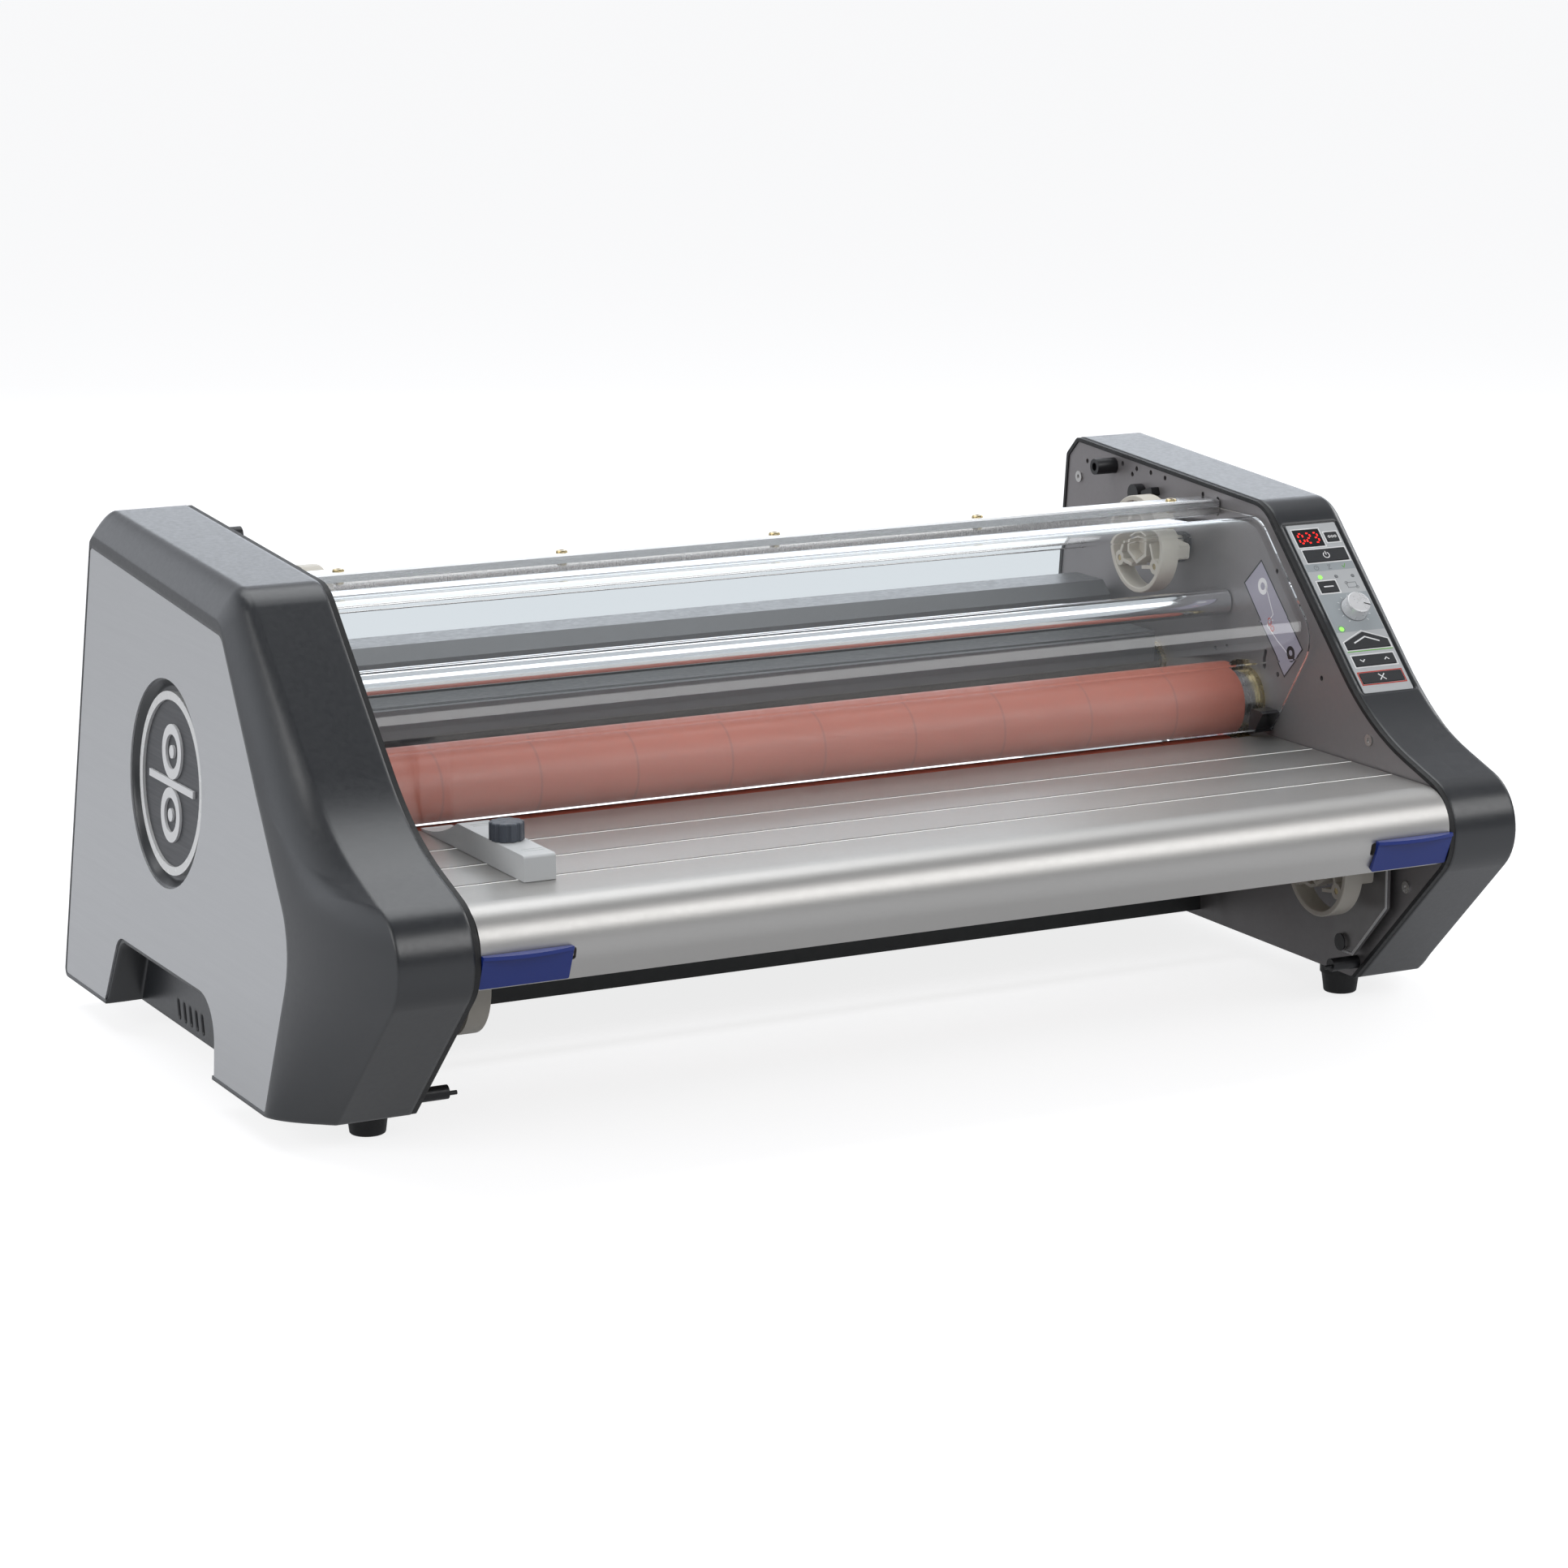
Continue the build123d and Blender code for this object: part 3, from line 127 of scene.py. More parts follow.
# ---------------------------------------------------------------- one function per material
def casing():
    """Satin charcoal plastic; the Bevel node rounds the moulded edges in the shading."""
    material, tree, shader = surface("casing", (0.012, 0.014, 0.018), 0.31, tone=0.03, grain=2600.0,
                                     depth=0.000012, rough_range=0.03, level=0.9)
    bevel = tree.nodes.new("ShaderNodeBevel")
    bevel.samples = 8
    bevel.inputs["Radius"].default_value = 0.0035
    grain_bump = shader.inputs["Normal"].links[0].from_node
    tree.links.new(bevel.outputs["Normal"], grain_bump.inputs["Normal"])
    return material


def casing_panel():
    """Brushed grey facing: grain runs front to back."""
    return surface("casing_panel", (0.57, 0.575, 0.585), 0.38, metal=0.60, tone=0.022, tone_scale=160.0,
                   grain=5200.0, depth=0.000006, rough_range=0.03, stretch=(1.0, 0.03, 1.0))[0]


def trim_white():
    return surface("trim_white", (0.86, 0.86, 0.85), 0.25, tone=0.02, grain=900.0, depth=0.00001, coat=0.3)[0]


def trim_dark():
    return surface("trim_dark", (0.070, 0.072, 0.078), 0.40, metal=0.3, tone=0.05, tone_scale=40.0,
                   grain=5200.0, depth=0.00002, stretch=(1.0, 0.03, 1.0))[0]


def seal():
    return surface("seal", (0.008, 0.008, 0.009), 0.55, grain=3000.0)[0]


def plate():
    return surface("plate", (0.262, 0.248, 0.252), 0.40, metal=0.45, tone=0.05, grain=2600.0,
                   depth=0.00003)[0]


def pan():
    return surface("pan", (0.030, 0.033, 0.033), 0.45, tone=0.1, grain=2200.0, depth=0.00004)[0]


def rear_paint():
    return surface("rear_paint", (0.20, 0.205, 0.215), 0.45, tone=0.05, grain=2200.0, depth=0.00004)[0]


def duct():
    return surface("duct", (0.16, 0.165, 0.17), 0.38, metal=0.4, tone=0.08, grain=2200.0, depth=0.00003)[0]


def steel():
    return surface("steel", (0.58, 0.57, 0.56), 0.26, metal=1.0, tone=0.06, grain=3400.0,
                   depth=0.00001, stretch=(1.0, 0.2, 0.2))[0]


def polished():
    return surface("polished", (0.74, 0.74, 0.75), 0.10, metal=1.0, tone=0.02, rough_range=0.02,
                   grain=2600.0, depth=0.0000005)[0]


def brass():
    return surface("brass", (0.52, 0.42, 0.23), 0.26, metal=1.0, tone=0.08, grain=2600.0, depth=0.000004)[0]


def silicone():
    """Salmon silicone sleeve with wrap joints round it."""
    material, tree, shader = surface("silicone", (0.45, 0.130, 0.088), 0.38, tone=0.06, tone_scale=14.0,
                                     rough_range=0.08, grain=1800.0, depth=0.00003)
    split = tree.nodes.new("ShaderNodeSeparateXYZ")
    source = tree.nodes.new("ShaderNodeTexCoord")
    tree.links.new(source.outputs["Object"], split.inputs["Vector"])
    repeat = tree.nodes.new("ShaderNodeMath")
    repeat.operation = "PINGPONG"
    repeat.inputs[1].default_value = 0.0365
    tree.links.new(split.outputs["X"], repeat.inputs[0])
    joint = spread(tree, repeat.outputs["Value"], 0.75, 0.0, 0.0, 0.0015)
    colour = shader.inputs["Base Color"].links[0].from_socket
    tree.links.new(blend_colours(tree, joint, colour, (0.30, 0.10, 0.08)), shader.inputs["Base Color"])
    return material


def pull_rubber():
    return surface("pull_rubber", (0.035, 0.035, 0.038), 0.48, tone=0.06, grain=2600.0, depth=0.00001)[0]


def black_plastic():
    return surface("black_plastic", (0.012, 0.012, 0.014), 0.38, grain=2600.0, depth=0.00003)[0]


def foot_rubber():
    return surface("foot_rubber", (0.016, 0.016, 0.017), 0.50, grain=2000.0, depth=0.00004)[0]


def gear_plastic():
    return surface("gear_plastic", (0.74, 0.72, 0.64), 0.40, tone=0.04, grain=2000.0)[0]


def chuck_plastic():
    return surface("chuck_plastic", (0.66, 0.62, 0.54), 0.40, tone=0.05, grain=2000.0)[0]


def clear_sheet():
    """Clear polycarbonate that lets the lamps through."""
    material, tree, shader = new_material("clear_sheet")
    shader.inputs["Transmission Weight"].default_value = 1.0
    shader.inputs["IOR"].default_value = 1.5
    shader.inputs["Roughness"].default_value = 0.0
    slow = noise(tree, coordinates(tree), 6.0, 1.0)
    tint = blend_colours(tree, slow, (0.925, 0.94, 0.945), (0.945, 0.955, 0.96))
    tree.links.new(tint, shader.inputs["Base Color"])
    paths = tree.nodes.new("ShaderNodeLightPath")
    passing = tree.nodes.new("ShaderNodeBsdfTransparent")
    passing.inputs["Color"].default_value = (0.93, 0.94, 0.94, 1.0)
    mix = tree.nodes.new("ShaderNodeMixShader")
    output = tree.nodes["Material Output"]
    tree.links.new(paths.outputs["Is Shadow Ray"], mix.inputs[0])
    tree.links.new(shader.outputs[0], mix.inputs[1])
    tree.links.new(passing.outputs[0], mix.inputs[2])
    tree.links.new(mix.outputs[0], output.inputs["Surface"])
    return material


def aluminium():
    return surface("aluminium", (0.68, 0.685, 0.69), 0.26, metal=1.0, tone=0.02, grain=2600.0,
                   depth=0.000003, rough_range=0.03, stretch=(0.03, 1.0, 1.0))[0]


def tray_paint():
    """Silver paint with fine metallic flakes."""
    return surface("tray_paint", (0.52, 0.51, 0.495), 0.40, metal=0.9, tone=0.025, tone_scale=1100.0,
                   rough_range=0.02, grain=2600.0, depth=0.000004)[0]


def latch_blue():
    return surface("latch_blue", (0.012, 0.036, 0.260), 0.30, tone=0.02, rough_range=0.01, grain=2600.0,
                   depth=0.000001)[0]


def guide_plastic():
    return surface("guide_plastic", (0.66, 0.675, 0.68), 0.42, tone=0.03, grain=2200.0)[0]


def dial_plastic():
    return surface("dial_plastic", (0.82, 0.82, 0.83), 0.30, metal=0.30, tone=0.02, grain=2600.0,
                   depth=0.000006, coat=0.2)[0]


def knob_plastic():
    return surface("knob_plastic", (0.070, 0.080, 0.100), 0.40, tone=0.05, grain=2200.0)[0]


def overlay():
    return surface("overlay", (0.56, 0.575, 0.585), 0.36, metal=0.2, tone=0.02, grain=3000.0,
                   depth=0.000004)[0]


def window():
    return surface("window", (0.010, 0.010, 0.011), 0.12, tone=0.05, grain=900.0, depth=0.000004, coat=0.5)[0]


def key_plastic():
    return surface("key_plastic", (0.022, 0.024, 0.027), 0.42, tone=0.05, grain=3000.0, depth=0.00003)[0]


def board():
    return surface("board", (0.02, 0.12, 0.05), 0.40, tone=0.15, grain=1200.0)[0]


def motor_paint():
    return surface("motor_paint", (0.05, 0.05, 0.055), 0.40, tone=0.08, grain=1800.0)[0]


def heater_glass():
    return surface("heater_glass", (0.72, 0.70, 0.66), 0.25, tone=0.05, grain=1200.0)[0]


def bracket_paint():
    return surface("bracket_paint", (0.26, 0.25, 0.25), 0.38, metal=0.5, tone=0.05, grain=2400.0)[0]


def print_white():
    return surface("print_white", (0.88, 0.88, 0.88), 0.40, tone=0.02, grain=3000.0, depth=0.00001)[0]


def print_tone():
    return surface("print_tone", (0.40, 0.435, 0.455), 0.36, metal=0.2, tone=0.02, grain=3000.0,
                   depth=0.000004)[0]


def print_grey():
    return surface("print_grey", (0.22, 0.23, 0.24), 0.40, tone=0.02, grain=3000.0, depth=0.00001)[0]


def print_black():
    return surface("print_black", (0.010, 0.010, 0.012), 0.40, tone=0.02, grain=3000.0, depth=0.00001)[0]


def print_red():
    return surface("print_red", (0.55, 0.045, 0.025), 0.40, tone=0.02, grain=3000.0, depth=0.00001)[0]


def print_green():
    return surface("print_green", (0.16, 0.48, 0.07), 0.40, tone=0.02, grain=3000.0, depth=0.00001)[0]


def print_lilac():
    return surface("print_lilac", (0.40, 0.38, 0.46), 0.40, tone=0.04, grain=3000.0, depth=0.00001)[0]


def lamp(name, colour, strength):
    """A lit indicator, also used for a painted glint: coloured surface that also gives off a little light."""
    material, tree, shader = surface(name, colour, 0.3, tone=0.02, grain=2000.0, depth=0.00001)
    shader.inputs["Emission Color"].default_value = (*colour, 1.0)
    shader.inputs["Emission Strength"].default_value = strength
    return material


slot_material = {
    "casing": casing(), "casing_panel": casing_panel(), "trim_white": trim_white(), "trim_dark": trim_dark(),
    "seal": seal(), "plate": plate(), "pan": pan(), "duct": duct(), "steel": steel(), "polished": polished(),
    "brass": brass(), "silicone": silicone(), "pull_rubber": pull_rubber(), "black_plastic": black_plastic(),
    "foot_rubber": foot_rubber(), "gear_plastic": gear_plastic(), "chuck_plastic": chuck_plastic(),
    "clear": clear_sheet(), "aluminium": aluminium(), "tray": tray_paint(), "latch": latch_blue(),
    "guide": guide_plastic(), "knob": knob_plastic(), "overlay": overlay(), "window": window(),
    "key": key_plastic(), "board": board(), "motor": motor_paint(), "heater": heater_glass(),
    "bracket": bracket_paint(), "dial": dial_plastic(), "rear": rear_paint(),
}
for entry in frame["record"]["subparts"]:
    node = frame["nodes"][entry["node"]]
    node.data.materials.clear()
    node.data.materials.append(slot_material[entry["material_slot"]])


# ---------------------------------------------------------------- flat printed shapes
def add_piece(name, mesh, material, body):
    """Put a mesh in the scene as a piece that rides on a body."""
    mesh.materials.append(material)
    piece = bpy.data.objects.new(name, mesh)
    bpy.context.scene.collection.objects.link(piece)
    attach(piece, body)
    return piece


def prisms(name, outlines, place, thickness):
    """Mesh of thin prisms: each outline is (u, v) points in mm, place() turns them into 3-D points."""
    mesh = bmesh.new()
    for points in outlines:
        low = [mesh.verts.new(place(u, v, 0.0)) for u, v in points]
        high = [mesh.verts.new(place(u, v, thickness)) for u, v in points]
        mesh.faces.new(high)
        mesh.faces.new(list(reversed(low)))
        for i in range(len(points)):
            j = (i + 1) % len(points)
            mesh.faces.new((low[i], low[j], high[j], high[i]))
    bmesh.ops.recalc_face_normals(mesh, faces=mesh.faces)
    data = bpy.data.meshes.new(name)
    mesh.to_mesh(data)
    mesh.free()
    return data


def stroke(points, width, closed=False):
    """Outlines of the pieces of a printed line, mitred so that no two overlap."""
    points = list(points)
    if not closed and hypot(points[0][0] - points[-1][0], points[0][1] - points[-1][1]) < 1e-6:
        points.pop()
        closed = True
    count = len(points)
    pieces = count if closed else count - 1
    along = []
    for i in range(pieces):
        (u1, v1), (u2, v2) = points[i], points[(i + 1) % count]
        length = hypot(u2 - u1, v2 - v1)
        along.append(((u2 - u1) / length, (v2 - v1) / length))
    sides = []
    for i, (u, v) in enumerate(points):
        before = along[i - 1] if closed or i > 0 else along[0]
        after = along[i % pieces] if closed or i < pieces else along[-1]
        du, dv = -(before[1] + after[1]), before[0] + after[0]
        size = du * du + dv * dv
        du, dv = du * width / size, dv * width / size
        sides.append(((u + du, v + dv), (u - du, v - dv)))
    shapes = []
    for i in range(pieces):
        (left1, right1), (left2, right2) = sides[i], sides[(i + 1) % count]
        shapes.append([left1, left2, right2, right1])
    return shapes


def arc(u, v, radius, start, end, steps=24):
    """Points along an arc, angles in degrees."""
    return [
        (u + radius * cos(radians(start + (end - start) * i / steps)),
         v + radius * sin(radians(start + (end - start) * i / steps)))
        for i in range(steps + 1)
    ]


def disc(u, v, radius, steps=32):
    """Outline of a filled circle."""
    return arc(u, v, radius, 0, 360, steps)[:-1]


def frame_lines(u, v, width, height, line):
    """A rectangle drawn as a line, centred on u, v."""
    a, b = width / 2, height / 2
    return stroke([(u - a, v - b), (u + a, v - b), (u + a, v + b), (u - a, v + b)], line, closed=True)


# ---------------------------------------------------------------- control panel prints
panel_low, panel_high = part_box("panel_overlay")
overlay_thickness = 0.9
window_rise = 0.16
key_rise = 0.55
dial_place = (24.5, 78.0)
slope_run, slope_drop = 0.7038, 0.7104
slope_down = Vector((0.0, -slope_run, -slope_drop))
slope_out = Vector((0.0, -slope_drop, slope_run))
top_edge_y = panel_high[1] - overlay_thickness * mm * slope_drop
panel_corner = Vector((panel_low[0], top_edge_y, panel_high[2]))


def on_panel(u, v, height):
    """Point on the overlay: u mm from its left edge, v mm below its top edge, height above it."""
    return panel_corner + Vector((u * mm, 0, 0)) + slope_down * (v * mm) + slope_out * ((height + 0.02) * mm)


def on_keys(u, v, height):
    """The same on the faces of the keys."""
    return on_panel(u, v, height + key_rise)


def panel_print(name, shapes, material, body="frame", place=on_panel, thickness=0.08):
    return add_piece(name, prisms(name, shapes, place, thickness), material, body)


def key_centre(node):
    """Centre of a key's face in panel millimetres, and its size."""
    low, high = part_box(node)
    middle = (Vector(low) + Vector(high)) / 2 - panel_corner
    return middle.x / mm, middle.dot(slope_down) / mm, (high[0] - low[0]) / mm


white, grey_ink, black_ink, tone_ink = print_white(), print_grey(), print_black(), print_tone()
red_ink, green_ink, lilac = print_red(), print_green(), print_lilac()
red_lamp = lamp("red_lamp", (1.0, 0.02, 0.015), 1.6)
green_lamp = lamp("green_lamp", (0.30, 1.0, 0.12), 0.9)
# Glowing white for the painted highlight along the tray grooves; it stands in for lit groove walls and is no
# real lamp.
painted_glint = lamp("painted_glint", (0.92, 0.92, 0.90), 0.45)


def seven_segments(u, v, width, height, digit):
    """Outlines of one lit seven-segment digit, centred on u, v; v runs downwards."""
    lit = {0: "abcdef", 2: "abged", 3: "abgcd", 8: "abcdefg", 1: "bc"}[digit]
    a, b, gap = width / 2, height / 2, 0.55
    ends = {
        "a": ((u - a, v - b), (u + a, v - b)), "b": ((u + a, v - b), (u + a, v)),
        "c": ((u + a, v), (u + a, v + b)), "d": ((u - a, v + b), (u + a, v + b)),
        "e": ((u - a, v), (u - a, v + b)), "f": ((u - a, v - b), (u - a, v)),
        "g": ((u - a, v), (u + a, v)),
    }
    shapes = []
    for name in lit:
        (u1, v1), (u2, v2) = ends[name]
        length = hypot(u2 - u1, v2 - v1)
        du, dv = (u2 - u1) / length * gap, (v2 - v1) / length * gap
        shapes += stroke([(u1 + du * 2, v1 + dv * 2), (u2 - du * 2, v2 - dv * 2)], 1.15)
    return shapes


def print_panel():
    """Everything printed on, or lit in, the control panel."""
    digits = []
    for i, digit in enumerate((0, 2, 3)):
        digits += seven_segments(8.4 + 6.4 * i, 12.3, 3.9, 8.6, digit)
    panel_print("display_digits", digits, red_lamp,
                place=lambda u, v, h: on_panel(u, v, h + window_rise))

    borders = []
    for node, height in (("button_preset", 8.0), ("button_power", 10.6), ("button_film", 9.6),
                         ("rocker_speed", 8.8)):
        u, v, width = key_centre(node)
        borders += frame_lines(u, v + 0.1, width + 2.0, height + 2.0, 0.8)
    borders += frame_lines(14.8, 12.3, 24.2, 16.8, 0.7)
    panel_print("key_borders", borders, white)

    u, v, width = key_centre("button_stop")
    panel_print("stop_border", frame_lines(u, v + 0.1, width + 2.0, 10.8, 0.9), red_ink)

    u, v, width = key_centre("button_run")
    half = width / 2 + 1.1
    house = [(u - half, v + 0.2), (u - 0.1, v - 8.6), (u + half, v + 0.2), (u + half, v + 8.0),
             (u - half, v + 8.0)]
    panel_print("run_border", stroke(house, 0.8, closed=True), white)
    panel_print("run_underline", stroke([(u - half, v + 8.9), (u + half, v + 8.9)], 0.8), green_ink)


def print_keys():
    """Symbols on the key faces; each rides on its own key."""
    u, v, _ = key_centre("button_power")
    shapes = stroke(arc(u, v + 0.2, 2.5, -60, 240, 14), 0.7) + stroke([(u, v - 3.3), (u, v)], 0.7)
    panel_print("power_symbol", shapes, white, "key_power", on_keys)
    u, v, _ = key_centre("button_film")
    panel_print("film_symbol", stroke([(u - 4.2, v), (u + 4.2, v)], 1.0), white, "key_film", on_keys)
    u, v, _ = key_centre("button_preset")
    rings = []
    for i in (-1, 0, 1):
        rings += stroke(arc(u + 2.6 * i, v, 0.9, 0, 360, 10), 0.5)
    panel_print("preset_symbol", rings, white, "key_preset", on_keys)
    u, v, _ = key_centre("button_run")
    panel_print("run_symbol", stroke([(u - 11.0, v + 2.0), (u, v - 2.8), (u + 11.0, v + 2.0)], 1.1), white,
                "key_run", on_keys)
    u, v, _ = key_centre("rocker_speed")
    arrows = stroke([(u - 12.4, v - 0.9), (u - 10.4, v + 1.0), (u - 8.4, v - 0.9)], 0.8)
    arrows += stroke([(u + 8.4, v + 0.9), (u + 10.4, v - 1.0), (u + 12.4, v + 0.9)], 0.8)
    panel_print("rocker_symbols", arrows, white, "key_rocker", on_keys)
    u, v, _ = key_centre("button_stop")
    cross = stroke([(u - 2.6, v - 2.6), (u + 2.6, v + 2.6)], 0.8)
    cross += stroke([(u - 2.6, v + 2.6), (u - 0.4, v + 0.4)], 0.8)
    cross += stroke([(u + 0.4, v - 0.4), (u + 2.6, v - 2.6)], 0.8)
    panel_print("stop_symbol", cross, white, "key_stop", on_keys)


def print_small_marks():
    """Grey zones, status icons, lamp lenses, the film icon, the ticks round the speed knob and a grey ring of
    painted contact shadow round its base.
    """
    def block(v1, v2):
        return [(0.6, v1), (42.4, v1), (42.4, v2), (0.6, v2)]

    zones = [block(35.4, 42.2), [(0.6, 63.0), (42.4, 63.0), (42.4, 97.0), (21.5, 97.0), (0.6, 97.0)]]
    panel_print("grey_zones", zones, tone_ink, place=lambda u, v, h: on_panel(u, v, h * 0.2))
    clock = stroke(arc(9.6, 39.0, 1.9, 0, 360, 16), 0.45)
    clock += stroke([(9.6, 37.8), (9.6, 39.0), (10.5, 39.0)], 0.4)
    glass = stroke([(19.6, 37.2), (22.4, 37.2)], 0.45) + stroke([(19.6, 40.8), (22.4, 40.8)], 0.45)
    glass += stroke([(19.9, 37.6), (21.0, 39.0), (19.9, 40.4)], 0.4)
    glass += stroke([(22.1, 37.6), (21.2, 38.8)], 0.4)
    panel_print("status_icons", clock + glass, grey_ink)
    panel_print("ready_tick", stroke([(32.0, 38.8), (33.2, 40.6), (35.2, 37.2)], 0.6), green_ink)
    panel_print("film_lamp", [disc(9.0, 47.5, 1.7)], green_lamp, thickness=0.25)
    panel_print("spare_lamps", [disc(23.0, 47.9, 1.3), disc(37.0, 48.5, 1.3)], grey_ink, thickness=0.2)
    panel_print("run_lamp", [disc(6.4, 94.1, 1.8)], green_lamp, thickness=0.25)
    panel_print("run_lamp_ring", stroke(arc(6.4, 94.1, 2.7, 0, 360, 20), 0.35), green_ink)
    web = frame_lines(32.8, 56.4, 8.0, 4.4, 0.4) + stroke(arc(28.8, 54.2, 1.1, 0, 360, 12), 0.4)
    web += stroke(arc(36.8, 58.6, 1.1, 0, 360, 12), 0.4)
    panel_print("film_icon", web, grey_ink)
    ticks = []
    u, v = dial_place
    for i in range(11):
        angle = radians(130 + 28 * i)
        ticks += stroke([(u + 11.6 * cos(angle), v + 11.6 * sin(angle)),
                         (u + 13.2 * cos(angle), v + 13.2 * sin(angle))], 0.45)
    panel_print("speed_ticks", ticks, white)
    # Grey ring painted round the knob's base as its contact shadow.
    panel_print("knob_painted_shadow", stroke(arc(u, v, 10.2, 0, 360, 36), 1.0), grey_ink)


def mark_knob():
    """Black pointer line across the speed knob's face."""
    def on_knob(u, v, height):
        return on_panel(u, v, height + 9.8)

    u, v = dial_place
    line = stroke([(u + 3.2, v + 1.35), (u + 8.0, v + 3.4)], 0.7)
    panel_print("knob_pointer", line, black_ink, "knob_speed", on_knob)


print_panel()
print_keys()
print_small_marks()
mark_knob()


# ---------------------------------------------------------------- badge emblem and threading label
def emblem(side):
    """Generic emblem on a badge disc: two rollers with a sheet passing between them."""
    low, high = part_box("badge_discs")
    radius = (high[1] - low[1]) / 2
    lean = radians(3.23)    # the covers' outer faces lean inwards
    y, z = (high[1] + low[1]) / 2, (high[2] + low[2]) / 2
    x = high[0] - radius * sin(lean)
    out = Vector((cos(lean), 0, sin(lean)))
    up = Vector((-sin(lean), 0, cos(lean)))
    centre = Vector((x, y, z))

    def place(u, v, height):
        point = centre + Vector((0, u * mm, 0)) + up * (v * mm) + out * (height * mm + 0.00002)
        return Vector((point.x * side, point.y, point.z))

    shapes = stroke(arc(0, 22.0, 15.5, 0, 360, 48), 7.0) + stroke(arc(0, -22.0, 15.5, 0, 360, 48), 7.0)
    shapes += stroke([(-44.0, 0.0), (44.0, 0.0)], 5.0)
    shapes += [disc(0, 22.0, 4.6), disc(0, -22.0, 4.6)]
    name = "emblem_right" if side > 0 else "emblem_left"
    return add_piece(name, prisms(name, shapes, place, 1.8), white, "frame")


def threading_label(side):
    """Film threading diagram on the inner face of a side plate."""
    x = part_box("side_plate_right")[0][0]

    def place(u, v, height):
        return Vector(((x - (height + 0.02) * mm) * side, u * mm, v * mm))

    def higher(u, v, height):
        return place(u, v, height + 0.08)

    tag = "right" if side > 0 else "left"
    corners = [(-35, 308), (-13, 288), (-68, 228), (-91, 251)]
    add_piece(f"label_ground_{tag}", prisms("ground", [corners], place, 0.08), lilac, "frame")
    add_piece(f"label_edge_{tag}", prisms("edge", stroke(corners, 1.1, closed=True), higher, 0.06), black_ink,
              "frame")
    film = [(-41.5, 290.0), (-52.0, 270.0), (-44.0, 262.0), (-58.0, 252.0), (-74.0, 243.0)]
    add_piece(f"label_film_{tag}", prisms("film", stroke(film, 0.7), higher, 0.06), white, "frame")
    rolls = stroke(arc(-37.5, 289.0, 4.6, 0, 360, 24), 3.4)
    add_piece(f"label_roll_{tag}", prisms("roll", rolls, higher, 0.06), white, "frame")
    lower = stroke(arc(-76.0, 245.5, 3.8, 0, 360, 24), 3.0)
    add_piece(f"label_lower_{tag}", prisms("lower", lower, higher, 0.06), black_ink, "frame")
    heat = stroke(arc(-47.5, 264.5, 2.0, 0, 360, 18), 1.0) + stroke(arc(-51.0, 260.5, 2.0, 0, 360, 18), 1.0)
    add_piece(f"label_heat_{tag}", prisms("heat", heat, higher, 0.06), red_ink, "frame")


for side in (-1, 1):
    emblem(side)
    threading_label(side)


# ---------------------------------------------------------------- small details on the frame and tray
def bracket_details(side):
    """White strip painted along the bracket's folded edge as its highlight, and black plug on the bracket of
    the lower film chuck.
    """
    tag = "right" if side > 0 else "left"

    bracket_face, plug_face = 361.5, 359.5

    def on_bracket(u, v, height):
        return Vector(((bracket_face - height - 0.02) * mm * side, u * mm, v * mm))

    def on_plug(u, v, height):
        return Vector(((plug_face - height - 0.02) * mm * side, u * mm, v * mm))

    # White strip along the step: a painted highlight on the folded edge.
    edge = stroke([(-216.0, 119.0), (-216.0, 84.4), (-175.6, 41.4), (-163.0, 41.4)], 1.8)
    add_piece(f"bracket_glint_{tag}", prisms("edge", edge, on_bracket, 0.5), white, "frame")
    plug = [disc(-163.0, 48.0, 6.4)]
    add_piece(f"bracket_plug_{tag}", prisms("plug", plug, on_plug, 0.8), black_ink, "frame")


def painted_groove_glints():
    """Painted highlight along the front edge of each groove in the tray: glowing white strips stand in for
    the lit groove walls.
    """
    low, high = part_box("feed_tray")

    def on_tray(u, v, height):
        return Vector((u * mm, v * mm, high[2] + (height + 0.01) * mm))

    lines = [stroke([(-367.0, y), (367.0, y)], 1.2)[0] for y in (-110.3, -160.5, -210.7)]
    add_piece("painted_groove_glints", prisms("painted_groove_glints", lines, on_tray, 0.06), painted_glint, "tray")


def chuck_screws(node, body, side):
    """Brass screw heads in the three bosses of a film chuck."""
    low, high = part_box(node)
    y, z = (low[1] + high[1]) / 2, (low[2] + high[2]) / 2
    boss_ring = 28.5
    turns = [radians(angle) for angle in (90, 210, 330)]
    heads = [disc(boss_ring * cos(turn), boss_ring * sin(turn), 2.3, 16) for turn in turns]

    def on_chuck(u, v, height):
        return Vector(((333.0 - height) * mm * side, y + u * mm, z + v * mm))

    add_piece(f"{node}_screws", prisms("heads", heads, on_chuck, 1.6), slot_material["brass"], body)


for side, tag in ((-1, "left"), (1, "right")):
    bracket_details(side)
    chuck_screws(f"upper_chuck_{tag}", f"upper_chuck_{tag[0]}", side)
    chuck_screws(f"lower_chuck_{tag}", f"lower_chuck_{tag[0]}", side)
painted_groove_glints()


# ---------------------------------------------------------------- floor, light and camera
def ray_kinds(tree):
    """Sockets that are 1 for camera rays, for rays through the clear shield, and for mirrored rays."""
    paths = tree.nodes.new("ShaderNodeLightPath")
    return (paths.outputs["Is Camera Ray"], paths.outputs["Is Transmission Ray"],
            paths.outputs["Is Glossy Ray"])


def glow(tree, colour, strength):
    node = tree.nodes.new("ShaderNodeEmission")
    node.inputs["Color"].default_value = (*colour, 1.0)
    node.inputs["Strength"].default_value = strength
    return node.outputs[0]


def join(tree, kind, first, second, factor=None):
    """Add two shaders, or mix them by a factor."""
    node = tree.nodes.new(kind)
    if factor is not None:
        tree.links.new(factor, node.inputs[0])
    start = 0 if factor is None else 1
    tree.links.new(first, node.inputs[start])
    tree.links.new(second, node.inputs[start + 1])
    return node.outputs[0]


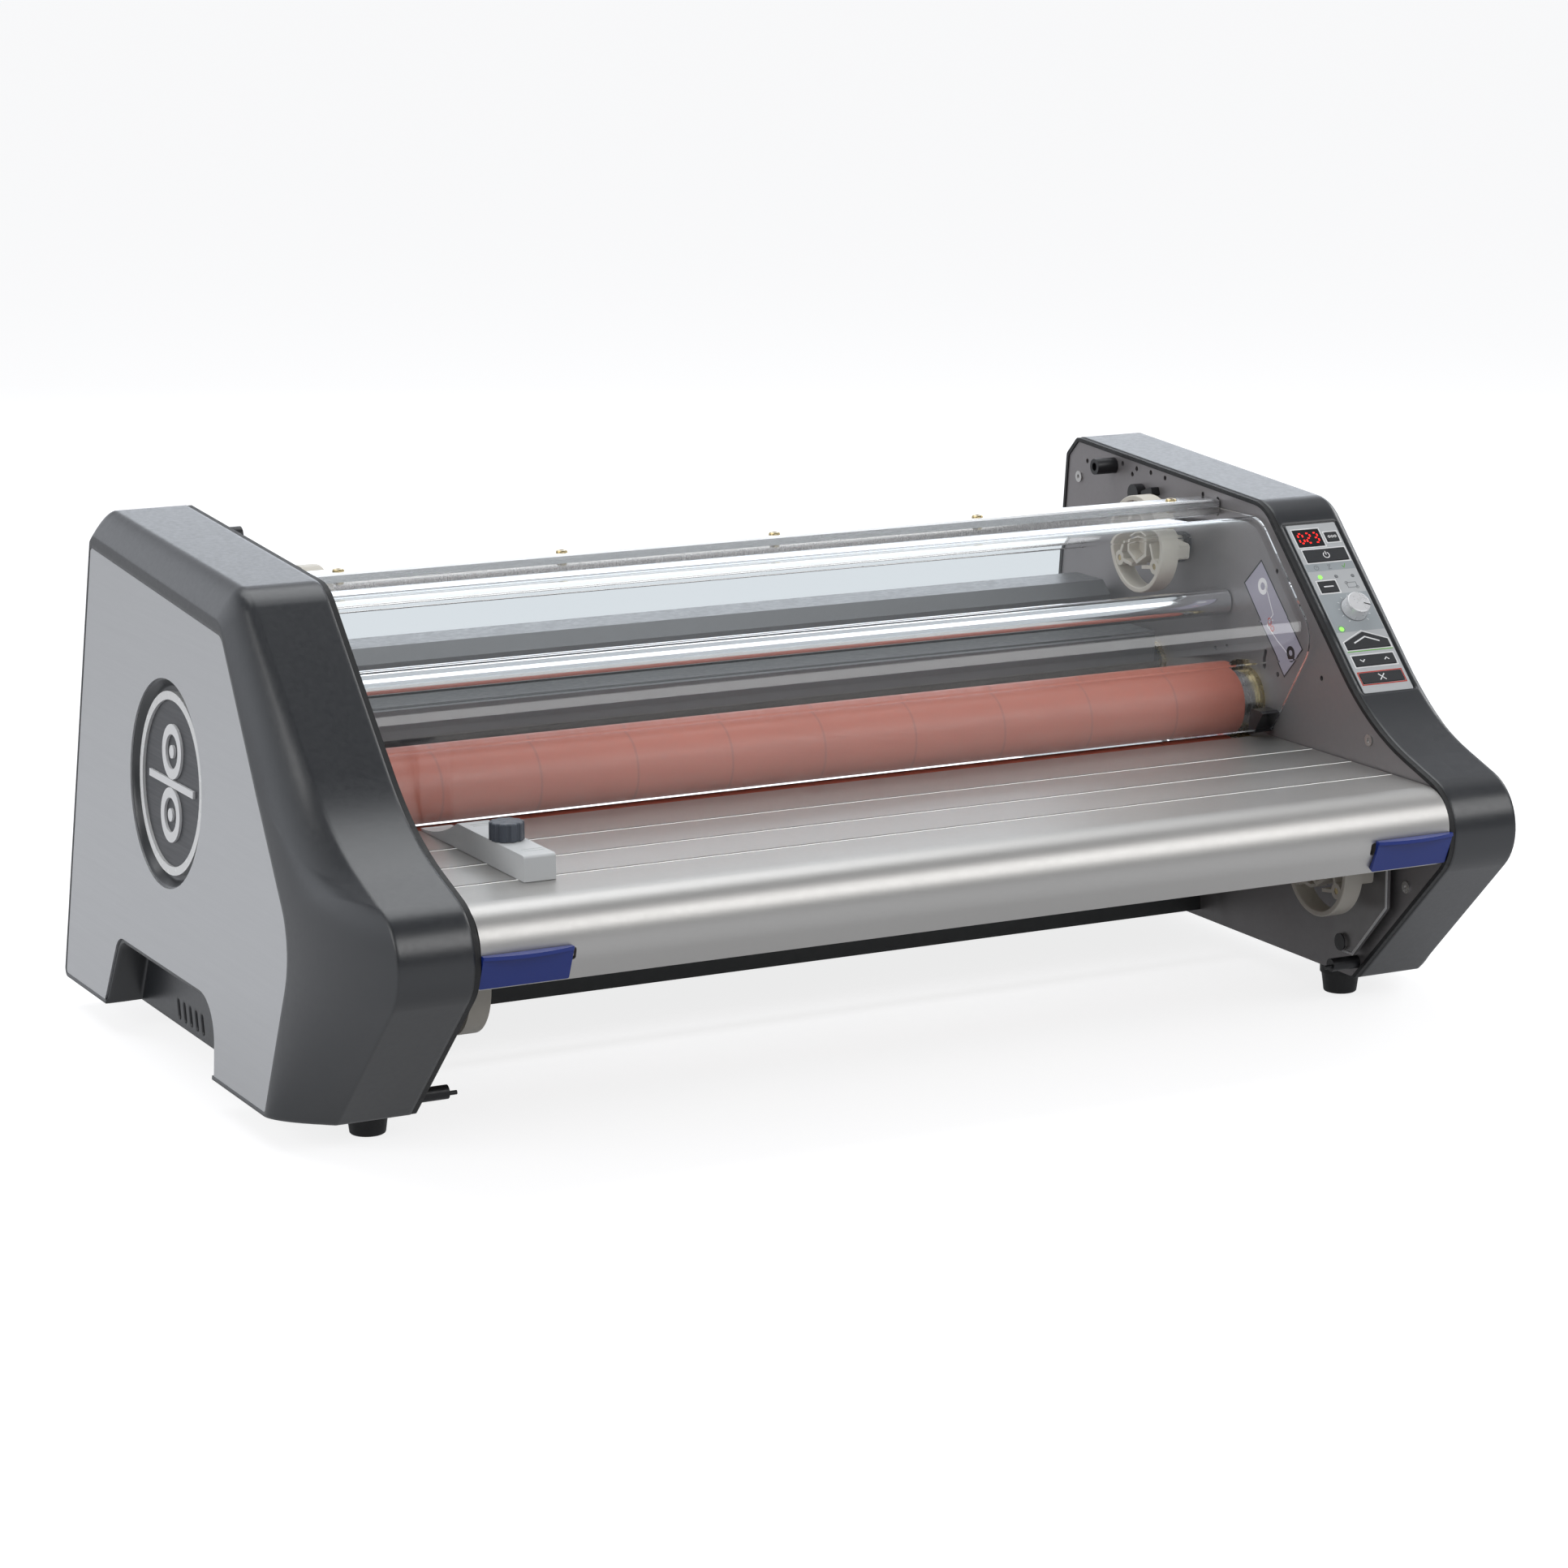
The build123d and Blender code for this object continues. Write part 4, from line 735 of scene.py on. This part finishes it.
def floor():
    """Plain pale floor: nearly white to the eye and in reflections, dark to other bounced light."""
    data = bpy.data.meshes.new("floor")
    data.from_pydata([(-30, -30, 0), (30, -30, 0), (30, 30, 0), (-30, 30, 0)], [], [(0, 1, 2, 3)])
    plane = bpy.data.objects.new("floor", data)
    bpy.context.scene.collection.objects.link(plane)
    material, tree, shader = new_material("floor_paint")
    shader.inputs["Base Color"].default_value = (0.38, 0.38, 0.39, 1.0)
    shader.inputs["Roughness"].default_value = 0.9
    shader.inputs["Specular IOR Level"].default_value = 0.0
    direct, through, glossy = ray_kinds(tree)
    mirrored = join(tree, "ShaderNodeAddShader", shader.outputs[0], glow(tree, (0.96, 0.98, 1.0), 0.34))
    eye = join(tree, "ShaderNodeAddShader", shader.outputs[0], glow(tree, (1.0, 1.0, 1.0), 0.82))
    bounced = join(tree, "ShaderNodeMixShader", shader.outputs[0], mirrored, glossy)
    behind = join(tree, "ShaderNodeMixShader", bounced, glow(tree, (0.80, 0.85, 0.89), 0.95), through)
    final = join(tree, "ShaderNodeMixShader", behind, eye, direct)
    tree.links.new(final, tree.nodes["Material Output"].inputs["Surface"])
    data.materials.append(material)


def area_light(name, place, target, width, height, power, tint=(1.0, 1.0, 1.0)):
    """Soft rectangular lamp at a place, aimed at a target."""
    data = bpy.data.lights.new(name, "AREA")
    data.shape = "RECTANGLE"
    data.size = width
    data.size_y = height
    data.energy = power
    data.color = tint
    lamp_object = bpy.data.objects.new(name, data)
    lamp_object.location = place
    aim = Vector(target) - Vector(place)
    lamp_object.rotation_euler = aim.to_track_quat("-Z", "Y").to_euler()
    bpy.context.scene.collection.objects.link(lamp_object)


def surroundings():
    """White to the camera; to everything else a dim room with a bright backdrop behind the machine."""
    world = bpy.data.worlds.new("studio")
    world.use_nodes = True
    tree = world.node_tree
    room = tree.nodes["Background"]
    source = tree.nodes.new("ShaderNodeTexCoord")
    split = tree.nodes.new("ShaderNodeSeparateXYZ")
    tree.links.new(source.outputs["Generated"], split.inputs["Vector"])
    behind = spread(tree, split.outputs["Y"], 0.0, 1.0, 0.15, 0.75)
    low_down = spread(tree, split.outputs["Z"], 1.0, 0.0, 0.30, 0.62)
    both = tree.nodes.new("ShaderNodeMath")
    both.operation = "MULTIPLY"
    tree.links.new(behind, both.inputs[0])
    tree.links.new(low_down, both.inputs[1])
    tone = blend_colours(tree, both.outputs["Value"], (0.25, 0.255, 0.265), (1.15, 1.19, 1.26))
    tree.links.new(tone, room.inputs["Color"])
    backdrop = tree.nodes.new("ShaderNodeBackground")
    backdrop.inputs["Color"].default_value = (1.02, 1.02, 1.02, 1.0)
    veil = tree.nodes.new("ShaderNodeBackground")
    veil.inputs["Color"].default_value = (0.80, 0.85, 0.89, 1.0)
    direct, through, _ = ray_kinds(tree)
    inner = join(tree, "ShaderNodeMixShader", room.outputs[0], veil.outputs[0], through)
    final = join(tree, "ShaderNodeMixShader", inner, backdrop.outputs[0], direct)
    tree.links.new(final, tree.nodes["World Output"].inputs["Surface"])
    bpy.context.scene.world = world


def studio():
    """Soft boxes: front, overhead towards the rear, low behind, and one on each side."""
    area_light("front_box", (1.1, -2.1, 1.65), (0.0, 0.0, 0.2), 2.6, 1.3, 26)
    area_light("top_box", (0.0, 0.9, 2.6), (0.0, 0.0, 0.2), 3.4, 2.0, 42, (0.96, 0.98, 1.0))
    area_light("rear_box", (1.7, 2.9, 1.15), (0.0, 0.0, 0.35), 2.8, 0.8, 9, (0.85, 0.92, 1.0))
    area_light("left_box", (-2.9, -0.4, 1.3), (0.0, 0.0, 0.2), 1.4, 1.4, 20)
    area_light("right_box", (2.8, 0.6, 1.6), (0.0, 0.0, 0.2), 1.2, 1.2, 14)


def camera():
    """Camera at the front left, slightly above, with a long lens."""
    data = bpy.data.cameras.new("camera")
    data.lens = 100.6
    data.sensor_width = 36.0
    data.clip_end = 100.0
    view = bpy.data.objects.new("camera", data)
    yaw, pitch, roll = radians(27.25), radians(12.29), radians(-0.21)
    aim = Matrix.Rotation(-yaw, 4, "Z") @ Matrix.Rotation(pi / 2 - pitch, 4, "X")
    turn = aim @ Matrix.Rotation(roll, 4, "Z")
    view.matrix_world = Matrix.Translation((-1.4100, -2.7181, 0.8380)) @ turn
    bpy.context.scene.collection.objects.link(view)
    bpy.context.scene.camera = view


floor()
surroundings()
studio()
camera()
bpy.context.scene.view_settings.view_transform = "Standard"
